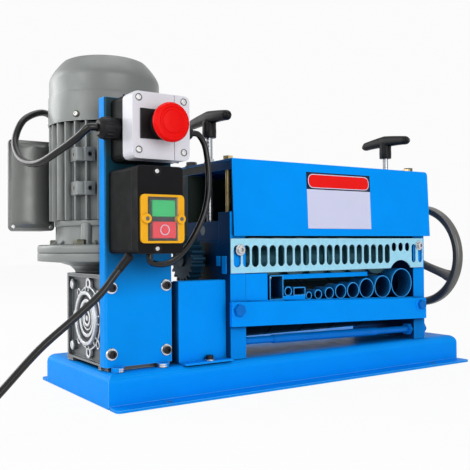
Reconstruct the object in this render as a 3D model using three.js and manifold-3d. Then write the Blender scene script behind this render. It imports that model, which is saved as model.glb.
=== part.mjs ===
// Bench wire stripping machine, millimetres, +Z up, +X along the bench, -Y towards the user.
// A geared motor on the left drives two stacked rollers; cable is fed in from the front
// through a slotted comb and a row of round and flat tubes.
import * as THREE from 'three';
import { mergeVertices } from 'three/addons/utils/BufferGeometryUtils.js';
import Module from 'manifold-3d';

const wasm = await Module();
wasm.setup();

// Driving dimensions: places are given from the piece that carries each one
const GAP = 0.3;
const OVERRUN = 2;
const SINK = 0.4;
const HALF = 0.5;
const TURN = Math.PI * 2;
const fullTurn = THREE.MathUtils.radToDeg(TURN);

const BASE = { fullLength: 556, fullWidth: 238, height: 36.5, sheet: 3, flange: 22.5, bend: 10, corner: 5,
  holeRadius: 4, holeInset: 66, holeEdge: 11 };

const COLUMN = { inset: 4, setback: 17.1, width: 81, sheet: 4, clearance: 4.2, top: 334.5, flange: 14.4,
  bend: 3, boltRadius: 4.3, boltSpanX: 66.6, boltSpanZ: 72.4, boltHeight: 91.3, footRadius: 7,
  footInset: 13 };

const GEARBOX = { width: 79, depth: 112, top: 141, footHeight: 4, footDepth: 17, recess: 5, rim: 4,
  cavityRadius: 34, wall: 9, wormBore: 16, wormDepth: 90, boltDepth: 4, padRadius: 6, padInset: 16 };

const WORM = { centreDistance: 40, radius: 13, core: 9, threadLength: 58, turns: 5, gap: 0.6 };

const SIDE_COVER = { radius: 36, thickness: 8.4, lugRadius: 6.5, lugCircle: 39.2, smallLugRadius: 5,
  holeRadius: 3, rings: 3, lugs: 8 };

const DRIVE = { axisDepth: 63, axisZ: 90.9, shaftRadius: 9, running: 0.1, rollerRadius: 37,
  rollerGroove: 1.5, grooves: 5 };

const GEARS = { module: 2.5, lowerTeeth: 30, cutterTeeth: 21, width: 17, standoff: 30.5,
  addendumShare: 0.86, dedendumShare: 1.2, rootShare: 0.3, tipShare: 0.13 };

const CUTTER = { shaftRadius: 8, sleeveRadius: 15, discRadius: 26, discThickness: 3, discs: 8, endGap: 9 };

const PRESS = { rollerRadius: 10, shaftRadius: 6, nip: 0.6, travel: 8, blockHeight: 25, blockBelow: 14,
  slotFloorGap: 0.4 };

const PLATES = { inset: 158.5, rightInset: 62, setback: 6.5, thickness: 22, depth: 126, legTop: 212.5,
  legDepth: 25.5 };

const TOP_PLATE = { thickness: 10, clearAbove: 51.8, frontInset: 2, leftInset: 3.5, rightInset: 2 };

const TOP_BOLT = { radius: 3.2, headRadius: 6.6, headHeight: 4.6, fromFront: 20, depth: 16 };

const HOOD = { leftInset: 3.2, rightOverhang: 8.8, bottom: 183.7, sheet: 2, splay: 4, corner: 5,
  plateGap: 0.3 };

const COMB = { leftOverhang: 0.3, rightInset: 4, bottom: 139, top: 180.5, sheet: 2, firstSlot: 9.2,
  lastSlot: 5.8, longCount: 20, shortCount: 3, endCount: 2, slotWidth: 9, slotHeight: 25.6,
  slotCentre: 159.2, shortWidth: 8.4, shortHeight: 11.4, shortCentre: 168.4, endWidth: 8,
  notchInset: 45.5, notchZ: 126, notchRadius: 24 };

const GUIDE = { trayTop: 105.92, trayFall: 9.04, traySheet: 3, tubeLength: 24, wall: 1.2, blockInset: 0.6,
  blockWidth: 32.5, blockTop: 138, stepInset: 57.4, stepWidth: 35.3, stepTop: 108.6, barTop: 135,
  barBottom: 129, barInset: 84, barFront: 6, barDepth: 6 };

// Feed tubes, each placed from the left frame plate
const TALL_TUBE = { inset: 36.4, width: 21, height: 30.4 };
const FLAT_TUBE = { inset: 73.6, width: 19.1, height: 10.6 };
const STEP_TUBE = { inset: 65.1, diameter: 12 };
// Round tubes on the tray: place and diameter as shares of the space between the frame plates
const TUBE_PLACE_SHARE = { a: 0.33791, b: 0.39177, c: 0.4566, d: 0.52453, e: 0.60069, f: 0.68576,
  g: 0.79005, h: 0.91767 };
const TUBE_SIZE_SHARE = { a: 0.03431, b: 0.04288, c: 0.05317, d: 0.0669, e: 0.07444, f: 0.09262,
  g: 0.10635, h: 0.14065 };

const BEAM = { rightInset: 4.6, thickness: 6, height: 29.6, topBelowTray: 1.1 };

const TIE_ROD = { fromFront: 10, leftZ: 56, rightZ: 50.4, radius: 4.5, sleeveRadius: 5.4,
  sleeveStart: 46.5, sleeveInset: 66, nutRadius: 8.5, nutHeight: 6, holeRadius: 5.6, entry: 12 };

const GEAR_COVER = { gap: 0.5, width: 64, setback: 10, top: 131.4, sheet: 2, lip: 14, foot: 16, side: 36 };

const T_HANDLE = { rodRadius: 4, leftLift: 32.4, rightLift: 25.4, hubRadius: 9, hubTopRadius: 8,
  hubHeight: 20, grip: 10, barHalf: 47, barRise: 26, barHalfHeight: 7.5, endHalfHeight: 5, droop: 2.2,
  barWidth: 11 };

const WHEEL = { radius: 80, rimWidth: 14, rimDepth: 12.5, rimOffset: 66, rimEdge: 3, hubOffset: 20,
  hubLength: 26, hubRadius: 15, spokes: 3, spokeWidth: 14, spokeDepth: 9, firstSpoke: 208 };

const MOTOR = { shift: 0.1, flangeRadius: 80, adapterHeight: 24, adapterLip: 14.6, adapterNeck: 36,
  bore: 20, shaftRadius: 7, flangeThickness: 9.6, shieldHeight: 37.5, shieldRadius: 57, shieldRim: 60,
  rimHeight: 6.5, lugRadius: 7, lugCircle: 58, lugs: 4, cupRadius: 45, bodyHeight: 112.5,
  coreRadius: 57, finRadius: 66.5, fins: 30, finThickness: 2.6, finRootShare: 1.3, endWall: 6,
  rotorRadius: 41, bodyBore: 44, rotorInset: 12 };

// Foot pads on the finned body: two rows, each with one pad facing left and one facing front
const BOSS = { height: 15.5, upperLift: 66.3, lowerLift: 27.9, reach: 55, sideFront: 49.3, sideSpan: 20.3,
  sideDepth: 13, frontLeft: 47.7, frontSpan: 12.2, frontDepth: 12 };

const COWL = { radius: 67, height: 82, sheet: 1.6, sideRadius: 66, sideHeight: 54.4, chamferRadius: 60.3,
  chamferHeight: 66.3, rimRadius: 49.6, rimHeight: 77.9, crownRadius: 30, crownHeight: 80.9, slots: 10,
  slotWidth: 4, slotInner: 16, slotOuter: 46 };

const FAN = { lift: 23, height: 22, radius: 50, hub: 12, blades: 6, bladeThickness: 2.4, plate: 2 };

const TERMINAL = { reach: 104.6, width: 56, setback: 43, depth: 45, lift: 27, height: 109, wall: 3,
  lidDepth: 4, bulge: 9, bulgeInset: 5, neckReach: 20, neckFront: 6, neckBack: 26, neckLift: 23,
  neckDrop: 19, glandInset: 18, glandDrop: 21, glandRadius: 8, glandLength: 11, bodyInset: 13.5 };

const ESTOP = { width: 67.2, height: 69.4, shift: 0.5, drop: 37.1, depth: 54.9, lidDepth: 24, corner: 6,
  wall: 2.5, plateWidth: 50.8, plateHeight: 31.5, plateThickness: 2, stemRadius: 11, headRadius: 20,
  headThickness: 11, headReach: 26.7, press: 5, axisLift: 1.4, hole: 11.4 };

const GLAND = { leftRadius: 12.6, rightRadius: 9.7, leftLength: 22, rightLength: 23, depth: 17.6,
  leftDrop: 0.6, rightLift: 2.5, collar: 5, collarShare: 0.86 };

const SWITCH = { reach: 35.5, width: 52.3, drop: 170.2, height: 89.7, depth: 70, coverDepth: 14,
  wall: 2.5, corner: 4, frameSize: 49.4, frameLift: 10.8, frameThickness: 2.8, windowWidth: 34.4,
  windowHeight: 44.8, earRadius: 4.8, earSpan: 39, earHeight: 6.6, moduleDepth: 30, moduleInset: 4.4,
  buttonWidth: 26.6, startLift: 37.5, startHeight: 17.5, stopLift: 15.5, stopHeight: 17.5,
  startProud: 1.6, stopProud: 3, buttonDepth: 9, press: 3, coverProud: 5.6, membrane: 0.9 };

const LINK_CABLE = { radius: 4.1, sides: 8 };
const MAINS = { radius: 3.75, sides: 8, inset: 6.6, setback: 29.4, reliefRadius: 6.6, reliefEnd: 4.3,
  reliefLength: 22, reliefX: -13.9, reliefY: -1.2, reliefZ: -15.7 };
const COIL = { reach: 204, setback: 29.6, outer: 51, step: 8.4, layerStep: 8, turnsPerLayer: 3, sides: 6,
  perTurn: 24 };
const PLUG = { bodyLength: 44, width: 30, height: 24, gripShare: 0.55, pinRadius: 2.4, pinLength: 19,
  pinSpan: 19, reach: 148, setback: 41 };

// Free points of each cable's run, from where it starts: x, y and z of each point in turn
const MOTOR_LINK = { x1: -16.8, y1: 13, z1: -9.8, x2: -27.3, y2: 37, z2: -21.2,
  x3: -39.8, y3: 75, z3: -32.3, x4: -46.8, y4: 111, z4: -23.8, x5: -46.3, y5: 135, z5: -0.8,
  x6: -31.8, y6: 149, z6: 27.2, x7: -2.8, y7: 165, z7: 41.8, x8: 23.2, y8: 192, z8: 35.2,
  x9: 30.2, y9: 213, z9: 17.2, x10: 23.2, y10: 231, z10: -4.8, x11: 3.2, y11: 233, z11: -15.8 };
const SWITCH_LINK = { x1: 16.6, y1: 0, z1: -9.9, x2: 21.1, y2: 0, z2: -27.9, x3: 22.8, y3: 0, z3: -57.9,
  x4: 17.8, y4: 0, z4: -86.9, x5: 6.1, y5: -1, z5: -110.6, x6: -11.9, y6: -4, z6: -132.9,
  x7: -31.9, y7: -9, z7: -145.4, x8: -49.9, y8: -13, z8: -147.4 };
const SWITCH_ENTRY = { inset: 33, setback: 38.4 };
const MAINS_RUN = { x1: -35.6, y1: -3.5, z1: 124, x2: -63.7, y2: -7, z2: 102.4,
  x3: -100.2, y3: -12, z3: 75.8, x4: -140.9, y4: -25, z4: 41.6, x5: -161.6, y5: -31.5, z5: 25,
  x6: -181.6, y6: -36.5, z6: 11.5 };
const TAIL_RUN = { x1: -45, y1: 2, z1: 9.5, x2: -70, y2: 7, z2: 10.5 };

// Looks
const blue = { color: 0x0b86f0, roughness: 0.35, metalness: 0.1 };
const cast = { color: 0x9a9d9e, roughness: 0.55, metalness: 0.5 };
const motorGrey = { color: 0x9fa3a1, roughness: 0.5, metalness: 0.3 };
const steel = { color: 0xb9bcc0, roughness: 0.3, metalness: 0.9 };
const combSteel = { color: 0xb4e2f2, roughness: 0.35, metalness: 0.5 };
const black = { color: 0x18191b, roughness: 0.5, metalness: 0 };
const brass = { color: 0xb08d3c, roughness: 0.35, metalness: 0.9 };
const red = { color: 0xe0130c, roughness: 0.35, metalness: 0 };
const green = { color: 0x10a848, roughness: 0.35, metalness: 0 };
const yellow = { color: 0xf3a90e, roughness: 0.45, metalness: 0 };
const paleGrey = { color: 0xdcdde2, roughness: 0.45, metalness: 0 };
const clear = { color: 0xdfe6ea, roughness: 0.1, metalness: 0 };
const wheelGrey = { color: 0x4b4b4c, roughness: 0.6, metalness: 0.4 };

// Places worked out from the driving dimensions
const wallY = BASE.fullWidth * HALF - BASE.flange;
const baseLeft = -BASE.fullLength * HALF;
const seatZ = BASE.height + GAP;
const columnLeft = baseLeft + COLUMN.inset;
const columnRight = columnLeft + COLUMN.width;
const columnMiddle = columnLeft + COLUMN.width * HALF;
const columnFront = -wallY + COLUMN.setback;
const columnBack = columnFront + COLUMN.sheet;
const columnBottom = seatZ + COLUMN.clearance;
const flangeBack = columnFront + COLUMN.flange;
const gearboxLeft = columnMiddle - GEARBOX.width * HALF;
const gearboxRight = gearboxLeft + GEARBOX.width;
const gearboxFront = columnBack + GAP;
const gearboxBack = gearboxFront + GEARBOX.depth;

const platesLeft = baseLeft + PLATES.inset;
const platesFront = -wallY + PLATES.setback;
const platesBack = platesFront + PLATES.depth;
const leftInner = platesLeft + PLATES.thickness;
const rightOuter = baseLeft + BASE.fullLength - PLATES.rightInset;
const rightInner = rightOuter - PLATES.thickness;
const platesSpan = rightInner - leftInner;
const leftMiddle = platesLeft + PLATES.thickness * HALF;
const rightMiddle = rightInner + PLATES.thickness * HALF;
const driveY = platesFront + DRIVE.axisDepth;
const lowerPitch = GEARS.module * GEARS.lowerTeeth * HALF;
const cutterPitch = GEARS.module * GEARS.cutterTeeth * HALF;
const cutterZ = DRIVE.axisZ + lowerPitch + cutterPitch;
const pressZ = cutterZ + CUTTER.discRadius + PRESS.nip + PRESS.rollerRadius;
const blockBottom = pressZ - PRESS.blockBelow;
const blockTop = blockBottom + PRESS.blockHeight;
const slotFloor = blockBottom - PRESS.slotFloorGap;
const gearsLeft = platesLeft - GEARS.standoff;
const gearsRight = gearsLeft + GEARS.width;
const topPlateBottom = PLATES.legTop + TOP_PLATE.clearAbove;
const topPlateTop = topPlateBottom + TOP_PLATE.thickness;
const hoodTop = topPlateTop + HOOD.plateGap + HOOD.sheet;
const hoodBack = platesBack + GAP + HOOD.sheet;
const wormWheelRadius = WORM.centreDistance - WORM.radius - WORM.gap;

const motorX = columnMiddle + MOTOR.shift;
const motorY = driveY + WORM.centreDistance;
const flangeSeam = GEARBOX.top + MOTOR.adapterHeight;
const flangeTop = flangeSeam + MOTOR.flangeThickness;
const shieldTop = flangeSeam + MOTOR.shieldHeight;
const bodyTop = shieldTop + MOTOR.bodyHeight;
const cowlTop = bodyTop + GAP + COWL.height;
const fanBottom = bodyTop + FAN.lift;
const terminalLeft = motorX - TERMINAL.reach;
const terminalRight = terminalLeft + TERMINAL.width;
const terminalFront = motorY + TERMINAL.setback;
const terminalBack = terminalFront + TERMINAL.depth;
const terminalBottom = flangeSeam + TERMINAL.lift;
const terminalTop = terminalBottom + TERMINAL.height;
const terminalGlandX = terminalRight - TERMINAL.glandInset;
const terminalGlandZ = terminalTop - TERMINAL.glandDrop;

const stopX = columnMiddle + ESTOP.shift;
const stopZ = COLUMN.top - ESTOP.drop;
const stopAxisZ = stopZ + ESTOP.axisLift;
const stopFront = columnFront - ESTOP.depth;
const estopBack = columnFront - GAP;
const estopSeam = stopFront + ESTOP.lidDepth;
const headFront = stopFront - ESTOP.headReach;
const headBack = headFront + ESTOP.headThickness;
const glandY = columnFront - GLAND.depth;
const glandLeftZ = stopZ - GLAND.leftDrop;
const glandRightZ = stopZ + GLAND.rightLift;
const switchLeft = columnMiddle - SWITCH.reach;
const switchRight = switchLeft + SWITCH.width;
const switchBottom = COLUMN.top - SWITCH.drop;
const switchTop = switchBottom + SWITCH.height;
const switchFront = columnFront - SWITCH.depth;
const switchBack = columnFront - GAP;
const switchSeam = switchFront + SWITCH.coverDepth;
const frameLeft = switchRight - SWITCH.frameSize - GAP;
const frameMiddle = frameLeft + SWITCH.frameSize * HALF;
const frameBottom = switchBottom + SWITCH.frameLift;
const frameCentreZ = frameBottom + SWITCH.frameSize * HALF;

const traySlope = -GUIDE.trayFall / platesSpan;
const trayZ = (x) => GUIDE.trayTop + traySlope * (x - leftInner);

// Turning meshes into solids and back
function solid(geometry) {
  const bare = geometry.clone();
  for (const name of Object.keys(bare.attributes)) {
    if (name !== 'position') bare.deleteAttribute(name);
  }
  const merged = mergeVertices(bare);
  const places = merged.attributes.position.array;
  const kept = [];
  let volume = 0;
  const point = (i) => new THREE.Vector3(places[3 * i], places[3 * i + 1], places[3 * i + 2]);
  for (let i = 0; i < merged.index.count; i += 3) {
    const [a, b, c] = [0, 1, 2].map((k) => merged.index.getX(i + k));
    if (a === b || b === c || a === c) continue;
    kept.push(a, b, c);
    volume += point(a).dot(point(b).cross(point(c)));
  }
  if (volume < 0) {
    for (let i = 0; i < kept.length; i += 3) [kept[i], kept[i + 1]] = [kept[i + 1], kept[i]];
  }
  return new wasm.Manifold(new wasm.Mesh({
    numProp: 3,
    vertProperties: new Float32Array(places),
    triVerts: new Uint32Array(kept),
  }));
}

const machine = new THREE.Group();

function add(name, shape, look) {
  const mesh = shape.getMesh();
  const geometry = new THREE.BufferGeometry();
  geometry.setAttribute('position', new THREE.BufferAttribute(new Float32Array(mesh.vertProperties), 3));
  geometry.setIndex(new THREE.BufferAttribute(new Uint32Array(mesh.triVerts), 1));
  geometry.computeVertexNormals();
  const part = new THREE.Mesh(geometry, new THREE.MeshStandardMaterial(look));
  part.name = name;
  machine.add(part);
}

// Basic shapes
function box(x0, y0, z0, x1, y1, z1) {
  const geometry = new THREE.BoxGeometry(x1 - x0, y1 - y0, z1 - z0);
  geometry.translate((x0 + x1) * HALF, (y0 + y1) * HALF, (z0 + z1) * HALF);
  return solid(geometry);
}

const axisFrames = {
  x: new THREE.Matrix4().makeBasis(
    new THREE.Vector3(0, 1, 0), new THREE.Vector3(0, 0, 1), new THREE.Vector3(1, 0, 0)),
  y: new THREE.Matrix4().makeBasis(
    new THREE.Vector3(1, 0, 0), new THREE.Vector3(0, 0, 1), new THREE.Vector3(0, -1, 0)),
  z: new THREE.Matrix4(),
};

// An outline swept from one place to another along an axis: (y, z) for x, (x, z) for y, (x, y) for z
function prism(axis, outline, from, to) {
  const shape = new THREE.Shape(outline.map(([u, v]) => new THREE.Vector2(u, v)));
  const geometry = new THREE.ExtrudeGeometry(shape, { depth: to - from, bevelEnabled: false });
  geometry.translate(0, 0, axis === 'y' ? -to : from);
  geometry.applyMatrix4(axisFrames[axis]);
  return solid(geometry);
}

function circle(u, v, radius, sides, turned = 0) {
  const points = [];
  for (let i = 0; i < sides; i += 1) {
    const angle = turned + TURN * i / sides;
    points.push([u + radius * Math.cos(angle), v + radius * Math.sin(angle)]);
  }
  return points;
}

const rod = (axis, u, v, radius, from, to, sides = 20) => prism(axis, circle(u, v, radius, sides),
  from, to);

// A quarter arc used at an outline's rounded corner
function corner(u, v, radius, start, steps = 4) {
  const points = [];
  for (let i = 0; i <= steps; i += 1) {
    const angle = start + (TURN / 4) * i / steps;
    points.push([u + radius * Math.cos(angle), v + radius * Math.sin(angle)]);
  }
  return points;
}

function roundedRect(u0, v0, u1, v1, radius, steps = 3) {
  return [
    ...corner(u0 + radius, v0 + radius, radius, -TURN / 2, steps),
    ...corner(u1 - radius, v0 + radius, radius, -TURN / 4, steps),
    ...corner(u1 - radius, v1 - radius, radius, 0, steps),
    ...corner(u0 + radius, v1 - radius, radius, TURN / 4, steps),
  ];
}

// A profile of [radius, height] points turned about an axis, with its zero height at the given place
function turned(axis, u, v, at, profile, sides = 32) {
  const geometry = new THREE.LatheGeometry(profile.map(([r, h]) => new THREE.Vector2(r, h)), sides);
  geometry.rotateX(TURN / 4);
  geometry.applyMatrix4(axisFrames[axis]);
  if (axis === 'x') geometry.translate(at, u, v);
  if (axis === 'y') geometry.translate(u, at, v);
  if (axis === 'z') geometry.translate(u, v, at);
  return solid(geometry);
}

function obround(u, v, width, height) {
  const radius = width * HALF;
  const reach = height * HALF - radius;
  const points = [];
  for (let i = 0; i <= 4; i += 1) {
    const angle = (TURN / 2) * i / 4;
    points.push([u + radius * Math.cos(angle), v + reach + radius * Math.sin(angle)]);
  }
  for (let i = 0; i <= 4; i += 1) {
    const angle = TURN / 2 + (TURN / 2) * i / 4;
    points.push([u + radius * Math.cos(angle), v - reach + radius * Math.sin(angle)]);
  }
  return points;
}

function tubeAlong(points, radius, sides, spacing) {
  const curve = new THREE.CatmullRomCurve3(points.map(([x, y, z]) => new THREE.Vector3(x, y, z)),
    false, 'centripetal');
  const section = new THREE.Shape(circle(0, 0, radius, sides).map(([u, v]) => new THREE.Vector2(u, v)));
  const steps = Math.max(4, Math.round(curve.getLength() / spacing));
  return solid(new THREE.ExtrudeGeometry(section, { steps, extrudePath: curve, bevelEnabled: false }));
}

// Base: an upturned tray with rounded edges and a foot flange front and back
function basePan() {
  const roundTop = (half, height, radius, low) => [
    [-half, low], [half, low],
    ...corner(half - radius, height - radius, radius, 0, 5),
    ...corner(-half + radius, height - radius, radius, TURN / 4, 5),
  ];
  const shell = (inset, low) => {
    const halfX = BASE.fullLength * HALF - inset;
    const halfY = wallY - inset;
    const radius = BASE.bend - inset;
    const along = prism('x', roundTop(halfY, BASE.height - inset, radius, low), -halfX, halfX);
    return along.intersect(prism('y', roundTop(halfX, BASE.height - inset, radius, low), -halfY, halfY));
  };
  let pan = shell(0, 0).subtract(shell(BASE.sheet, -OVERRUN));
  const halfX = BASE.fullLength * HALF;
  const halfY = BASE.fullWidth * HALF;
  const inner = wallY - BASE.sheet * HALF;
  for (const side of [-1, 1]) {
    const low = Math.min(side * halfY, side * inner);
    const high = Math.max(side * halfY, side * inner);
    let flange = prism('z', roundedRect(-halfX, low, halfX, high, BASE.corner), 0, BASE.sheet);
    for (const end of [-1, 1]) {
      const x = end * (halfX - BASE.holeInset);
      flange = flange.subtract(
        rod('z', x, side * (halfY - BASE.holeEdge), BASE.holeRadius, -OVERRUN, BASE.sheet + OVERRUN, 12));
    }
    pan = pan.add(flange);
  }
  return pan;
}

// Upright plate that carries the gearbox and both switch boxes
function columnBracket() {
  const right = columnRight;
  const left = columnLeft;
  const outline = [
    [right, columnFront], [right, columnBack], [left + COLUMN.sheet, columnBack],
    [left + COLUMN.sheet, flangeBack], [left, flangeBack], ...corner(left + COLUMN.bend,
      columnFront + COLUMN.bend, COLUMN.bend, -TURN / 2, 3),
  ];
  let plate = prism('z', outline, columnBottom, COLUMN.top);
  for (const sideX of [-1, 1]) {
    const x = columnMiddle + sideX * (COLUMN.width * HALF - COLUMN.footInset);
    plate = plate.add(rod('z', x, columnBack - COLUMN.footRadius, COLUMN.footRadius, seatZ,
      columnBottom + SINK, 16));
    for (const sideZ of [-1, 1]) {
      plate = plate.subtract(rod('y', columnMiddle + sideX * COLUMN.boltSpanX * HALF,
        COLUMN.boltHeight + sideZ * COLUMN.boltSpanZ * HALF, COLUMN.boltRadius,
        columnFront - OVERRUN, columnBack + OVERRUN, 12));
    }
  }
  return plate;
}

// Worm gearbox
function gearboxHousing() {
  let body = box(gearboxLeft, gearboxFront, seatZ, gearboxRight, gearboxBack, GEARBOX.top);
  body = body.subtract(box(gearboxLeft - OVERRUN, gearboxFront + GEARBOX.footDepth, seatZ - OVERRUN,
    gearboxRight + OVERRUN, gearboxBack - GEARBOX.footDepth, seatZ + GEARBOX.footHeight));
  const floor = gearboxLeft + GEARBOX.recess;
  body = body.subtract(box(gearboxLeft - OVERRUN, gearboxFront - OVERRUN,
    seatZ + GEARBOX.footHeight + OVERRUN,
    floor, gearboxBack - GEARBOX.rim, GEARBOX.top - GEARBOX.rim));
  body = body.subtract(box(gearboxLeft - OVERRUN, gearboxFront - OVERRUN, seatZ - OVERRUN,
    columnLeft + COLUMN.sheet + GAP, flangeBack + GAP, GEARBOX.top + OVERRUN));
  for (const z of [COLUMN.boltHeight - COLUMN.boltSpanZ * HALF,
    COLUMN.boltHeight + COLUMN.boltSpanZ * HALF]) {
    body = body.add(rod('x', gearboxBack - GEARBOX.padInset, z, GEARBOX.padRadius, gearboxLeft,
      floor + OVERRUN, 14));
    for (const side of [-1, 1]) {
      body = body.subtract(rod('y', columnMiddle + side * COLUMN.boltSpanX * HALF, z, COLUMN.boltRadius,
        gearboxFront - OVERRUN, gearboxFront + GEARBOX.boltDepth, 12));
    }
  }
  body = body.subtract(rod('x', driveY, DRIVE.axisZ, GEARBOX.cavityRadius, gearboxLeft - OVERRUN,
    gearboxRight - GEARBOX.wall, 32));
  body = body.subtract(rod('x', driveY, DRIVE.axisZ, DRIVE.shaftRadius + DRIVE.running,
    gearboxRight - GEARBOX.wall - OVERRUN, gearboxRight + OVERRUN, 24));
  return body.subtract(rod('z', motorX, motorY, GEARBOX.wormBore, GEARBOX.top - GEARBOX.wormDepth,
    GEARBOX.top + OVERRUN, 24));
}

function gearboxSideCover() {
  const step = SIDE_COVER.radius / (SIDE_COVER.rings + 1);
  const full = SIDE_COVER.thickness;
  const profile = [[0, 0], [SIDE_COVER.radius, 0]];
  let radius = SIDE_COVER.radius;
  for (let i = 0; i < SIDE_COVER.rings; i += 1) {
    const high = full * (i % 2 === 0 ? HALF : 1);
    profile.push([radius, high], [radius - step, high]);
    radius -= step;
  }
  profile.push([radius, full * HALF], [0, full * HALF]);
  const seat = gearboxLeft + GEARBOX.recess - GAP;
  let cover = turned('x', driveY, DRIVE.axisZ, seat, profile.map(([r, h]) => [r, -h]), 24);
  for (let i = 0; i < SIDE_COVER.lugs; i += 1) {
    const angle = TURN * i / SIDE_COVER.lugs;
    const large = i % 2 === 0;
    const y = driveY + SIDE_COVER.lugCircle * Math.cos(angle);
    const z = DRIVE.axisZ + SIDE_COVER.lugCircle * Math.sin(angle);
    cover = cover.add(rod('x', y, z, large ? SIDE_COVER.lugRadius : SIDE_COVER.smallLugRadius,
      seat - full * HALF, seat, 10));
    cover = cover.subtract(rod('x', y, z, SIDE_COVER.holeRadius, seat - full, seat + OVERRUN, 8));
  }
  return cover.subtract(box(columnLeft - OVERRUN, gearboxFront - OVERRUN, seatZ,
    gearboxLeft + GEARBOX.recess,
    flangeBack + GAP, GEARBOX.top));
}

function wormWheel() {
  const half = WORM.radius;
  const bore = DRIVE.shaftRadius + GAP;
  const rim = wormWheelRadius;
  return turned('x', driveY, DRIVE.axisZ, motorX,
    [[bore, -half], [rim, -half], [rim, half], [bore, half], [bore, -half]], 36);
}

function worm() {
  const profile = [[MOTOR.shaftRadius + GAP, 0], [WORM.core, 0]];
  const pitch = WORM.threadLength / WORM.turns;
  for (let i = 0; i < WORM.turns; i += 1) {
    const z = pitch * i;
    profile.push([WORM.core, z + pitch * HALF * HALF], [WORM.radius, z + pitch * HALF],
      [WORM.core, z + pitch * (1 - HALF * HALF)]);
  }
  profile.push([WORM.core, WORM.threadLength], [MOTOR.shaftRadius + GAP, WORM.threadLength],
    [MOTOR.shaftRadius + GAP, 0]);
  return turned('z', motorX, motorY, DRIVE.axisZ - WORM.threadLength * HALF, profile, 16);
}

// Motor on top of the gearbox
function gearboxFlange() {
  const low = GEARBOX.top + GAP;
  const lip = MOTOR.adapterLip - GAP;
  const top = flangeSeam - GAP - low;
  const neck = MOTOR.adapterNeck;
  const reach = MOTOR.flangeRadius - neck;
  const profile = [[MOTOR.bore, 0], [neck, 0]];
  for (let i = 1; i <= 3; i += 1) {
    const angle = (TURN / 4) * i / 3;
    profile.push([neck + reach * (1 - Math.cos(angle)), lip * Math.sin(angle)]);
  }
  profile.push([MOTOR.flangeRadius, top], [MOTOR.bore, top], [MOTOR.bore, 0]);
  return turned('z', motorX, motorY, low, profile, 36);
}

function motorEndShield() {
  const low = flangeSeam;
  const flange = flangeTop - low;
  const rim = shieldTop - low;
  const edge = MOTOR.finThickness;
  const hole = MOTOR.shaftRadius + GAP;
  let shield = turned('z', motorX, motorY, low, [
    [hole, 0], [MOTOR.flangeRadius, 0], [MOTOR.flangeRadius, flange - edge],
      [MOTOR.flangeRadius - edge, flange],
    [MOTOR.shieldRadius, flange], [MOTOR.shieldRadius, rim - MOTOR.rimHeight], [MOTOR.shieldRim,
      rim - MOTOR.rimHeight],
    [MOTOR.shieldRim, rim], [MOTOR.cupRadius, rim], [MOTOR.cupRadius, flange], [hole, flange], [hole, 0],
  ], 36);
  for (let i = 0; i < MOTOR.lugs; i += 1) {
    const angle = TURN * (i + HALF) / MOTOR.lugs;
    shield = shield.add(rod('z', motorX + MOTOR.lugCircle * Math.cos(angle),
      motorY + MOTOR.lugCircle * Math.sin(angle), MOTOR.lugRadius, flangeTop - SINK,
      shieldTop - MOTOR.rimHeight * HALF, 12));
  }
  return shield;
}

function motorBody() {
  const low = shieldTop + GAP;
  const outline = [];
  for (let i = 0; i < MOTOR.fins; i += 1) {
    const middle = TURN * i / MOTOR.fins;
    const tip = MOTOR.finThickness * HALF / MOTOR.finRadius;
    const root = MOTOR.finThickness * HALF * MOTOR.finRootShare / MOTOR.coreRadius;
    const at = (radius, angle) => outline.push(
      [motorX + radius * Math.cos(angle), motorY + radius * Math.sin(angle)]);
    at(MOTOR.coreRadius, middle - root);
    at(MOTOR.finRadius, middle - tip);
    at(MOTOR.finRadius, middle + tip);
    at(MOTOR.coreRadius, middle + root);
  }
  let body = prism('z', outline, low, bodyTop);
  for (const z of [shieldTop + BOSS.upperLift, shieldTop + BOSS.lowerLift]) {
    const sideX = motorX - BOSS.reach;
    const sideY = motorY - BOSS.sideFront;
    const frontX = motorX - BOSS.frontLeft;
    const frontY = motorY - BOSS.reach;
    const top = z + BOSS.height;
    body = body.add(box(sideX, sideY, z, sideX + BOSS.sideDepth, sideY + BOSS.sideSpan, top));
    body = body.add(box(frontX, frontY, z, frontX + BOSS.frontSpan, frontY + BOSS.frontDepth, top));
  }
  body = body.subtract(rod('z', motorX, motorY, MOTOR.bodyBore, low - OVERRUN,
    bodyTop - MOTOR.endWall, 32));
  return body.subtract(rod('z', motorX, motorY, MOTOR.shaftRadius + GAP, low, bodyTop + OVERRUN, 16));
}

function motorRotor() {
  const low = DRIVE.axisZ - WORM.threadLength * HALF;
  const shaftTop = fanBottom + FAN.height + GAP;
  const drumLow = shieldTop + MOTOR.rotorInset;
  const drumHigh = bodyTop - MOTOR.endWall - MOTOR.rotorInset;
  return rod('z', motorX, motorY, MOTOR.shaftRadius, low, shaftTop, 16)
    .add(rod('z', motorX, motorY, MOTOR.rotorRadius, drumLow, drumHigh, 28));
}

function motorFan() {
  let fan = rod('z', motorX, motorY, FAN.hub, fanBottom, fanBottom + FAN.height, 16)
    .add(rod('z', motorX, motorY, FAN.radius, fanBottom, fanBottom + FAN.plate, 28));
  for (let i = 0; i < FAN.blades; i += 1) {
    const blade = box(FAN.hub - OVERRUN, -FAN.bladeThickness * HALF, fanBottom + FAN.plate * HALF,
      FAN.radius - OVERRUN, FAN.bladeThickness * HALF, fanBottom + FAN.height);
    fan = fan.add(blade.rotate([0, 0, fullTurn * i / FAN.blades]).translate([motorX, motorY, 0]));
  }
  return fan.subtract(rod('z', motorX, motorY, MOTOR.shaftRadius + GAP, fanBottom - OVERRUN,
    fanBottom + FAN.height + OVERRUN, 16));
}

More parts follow.
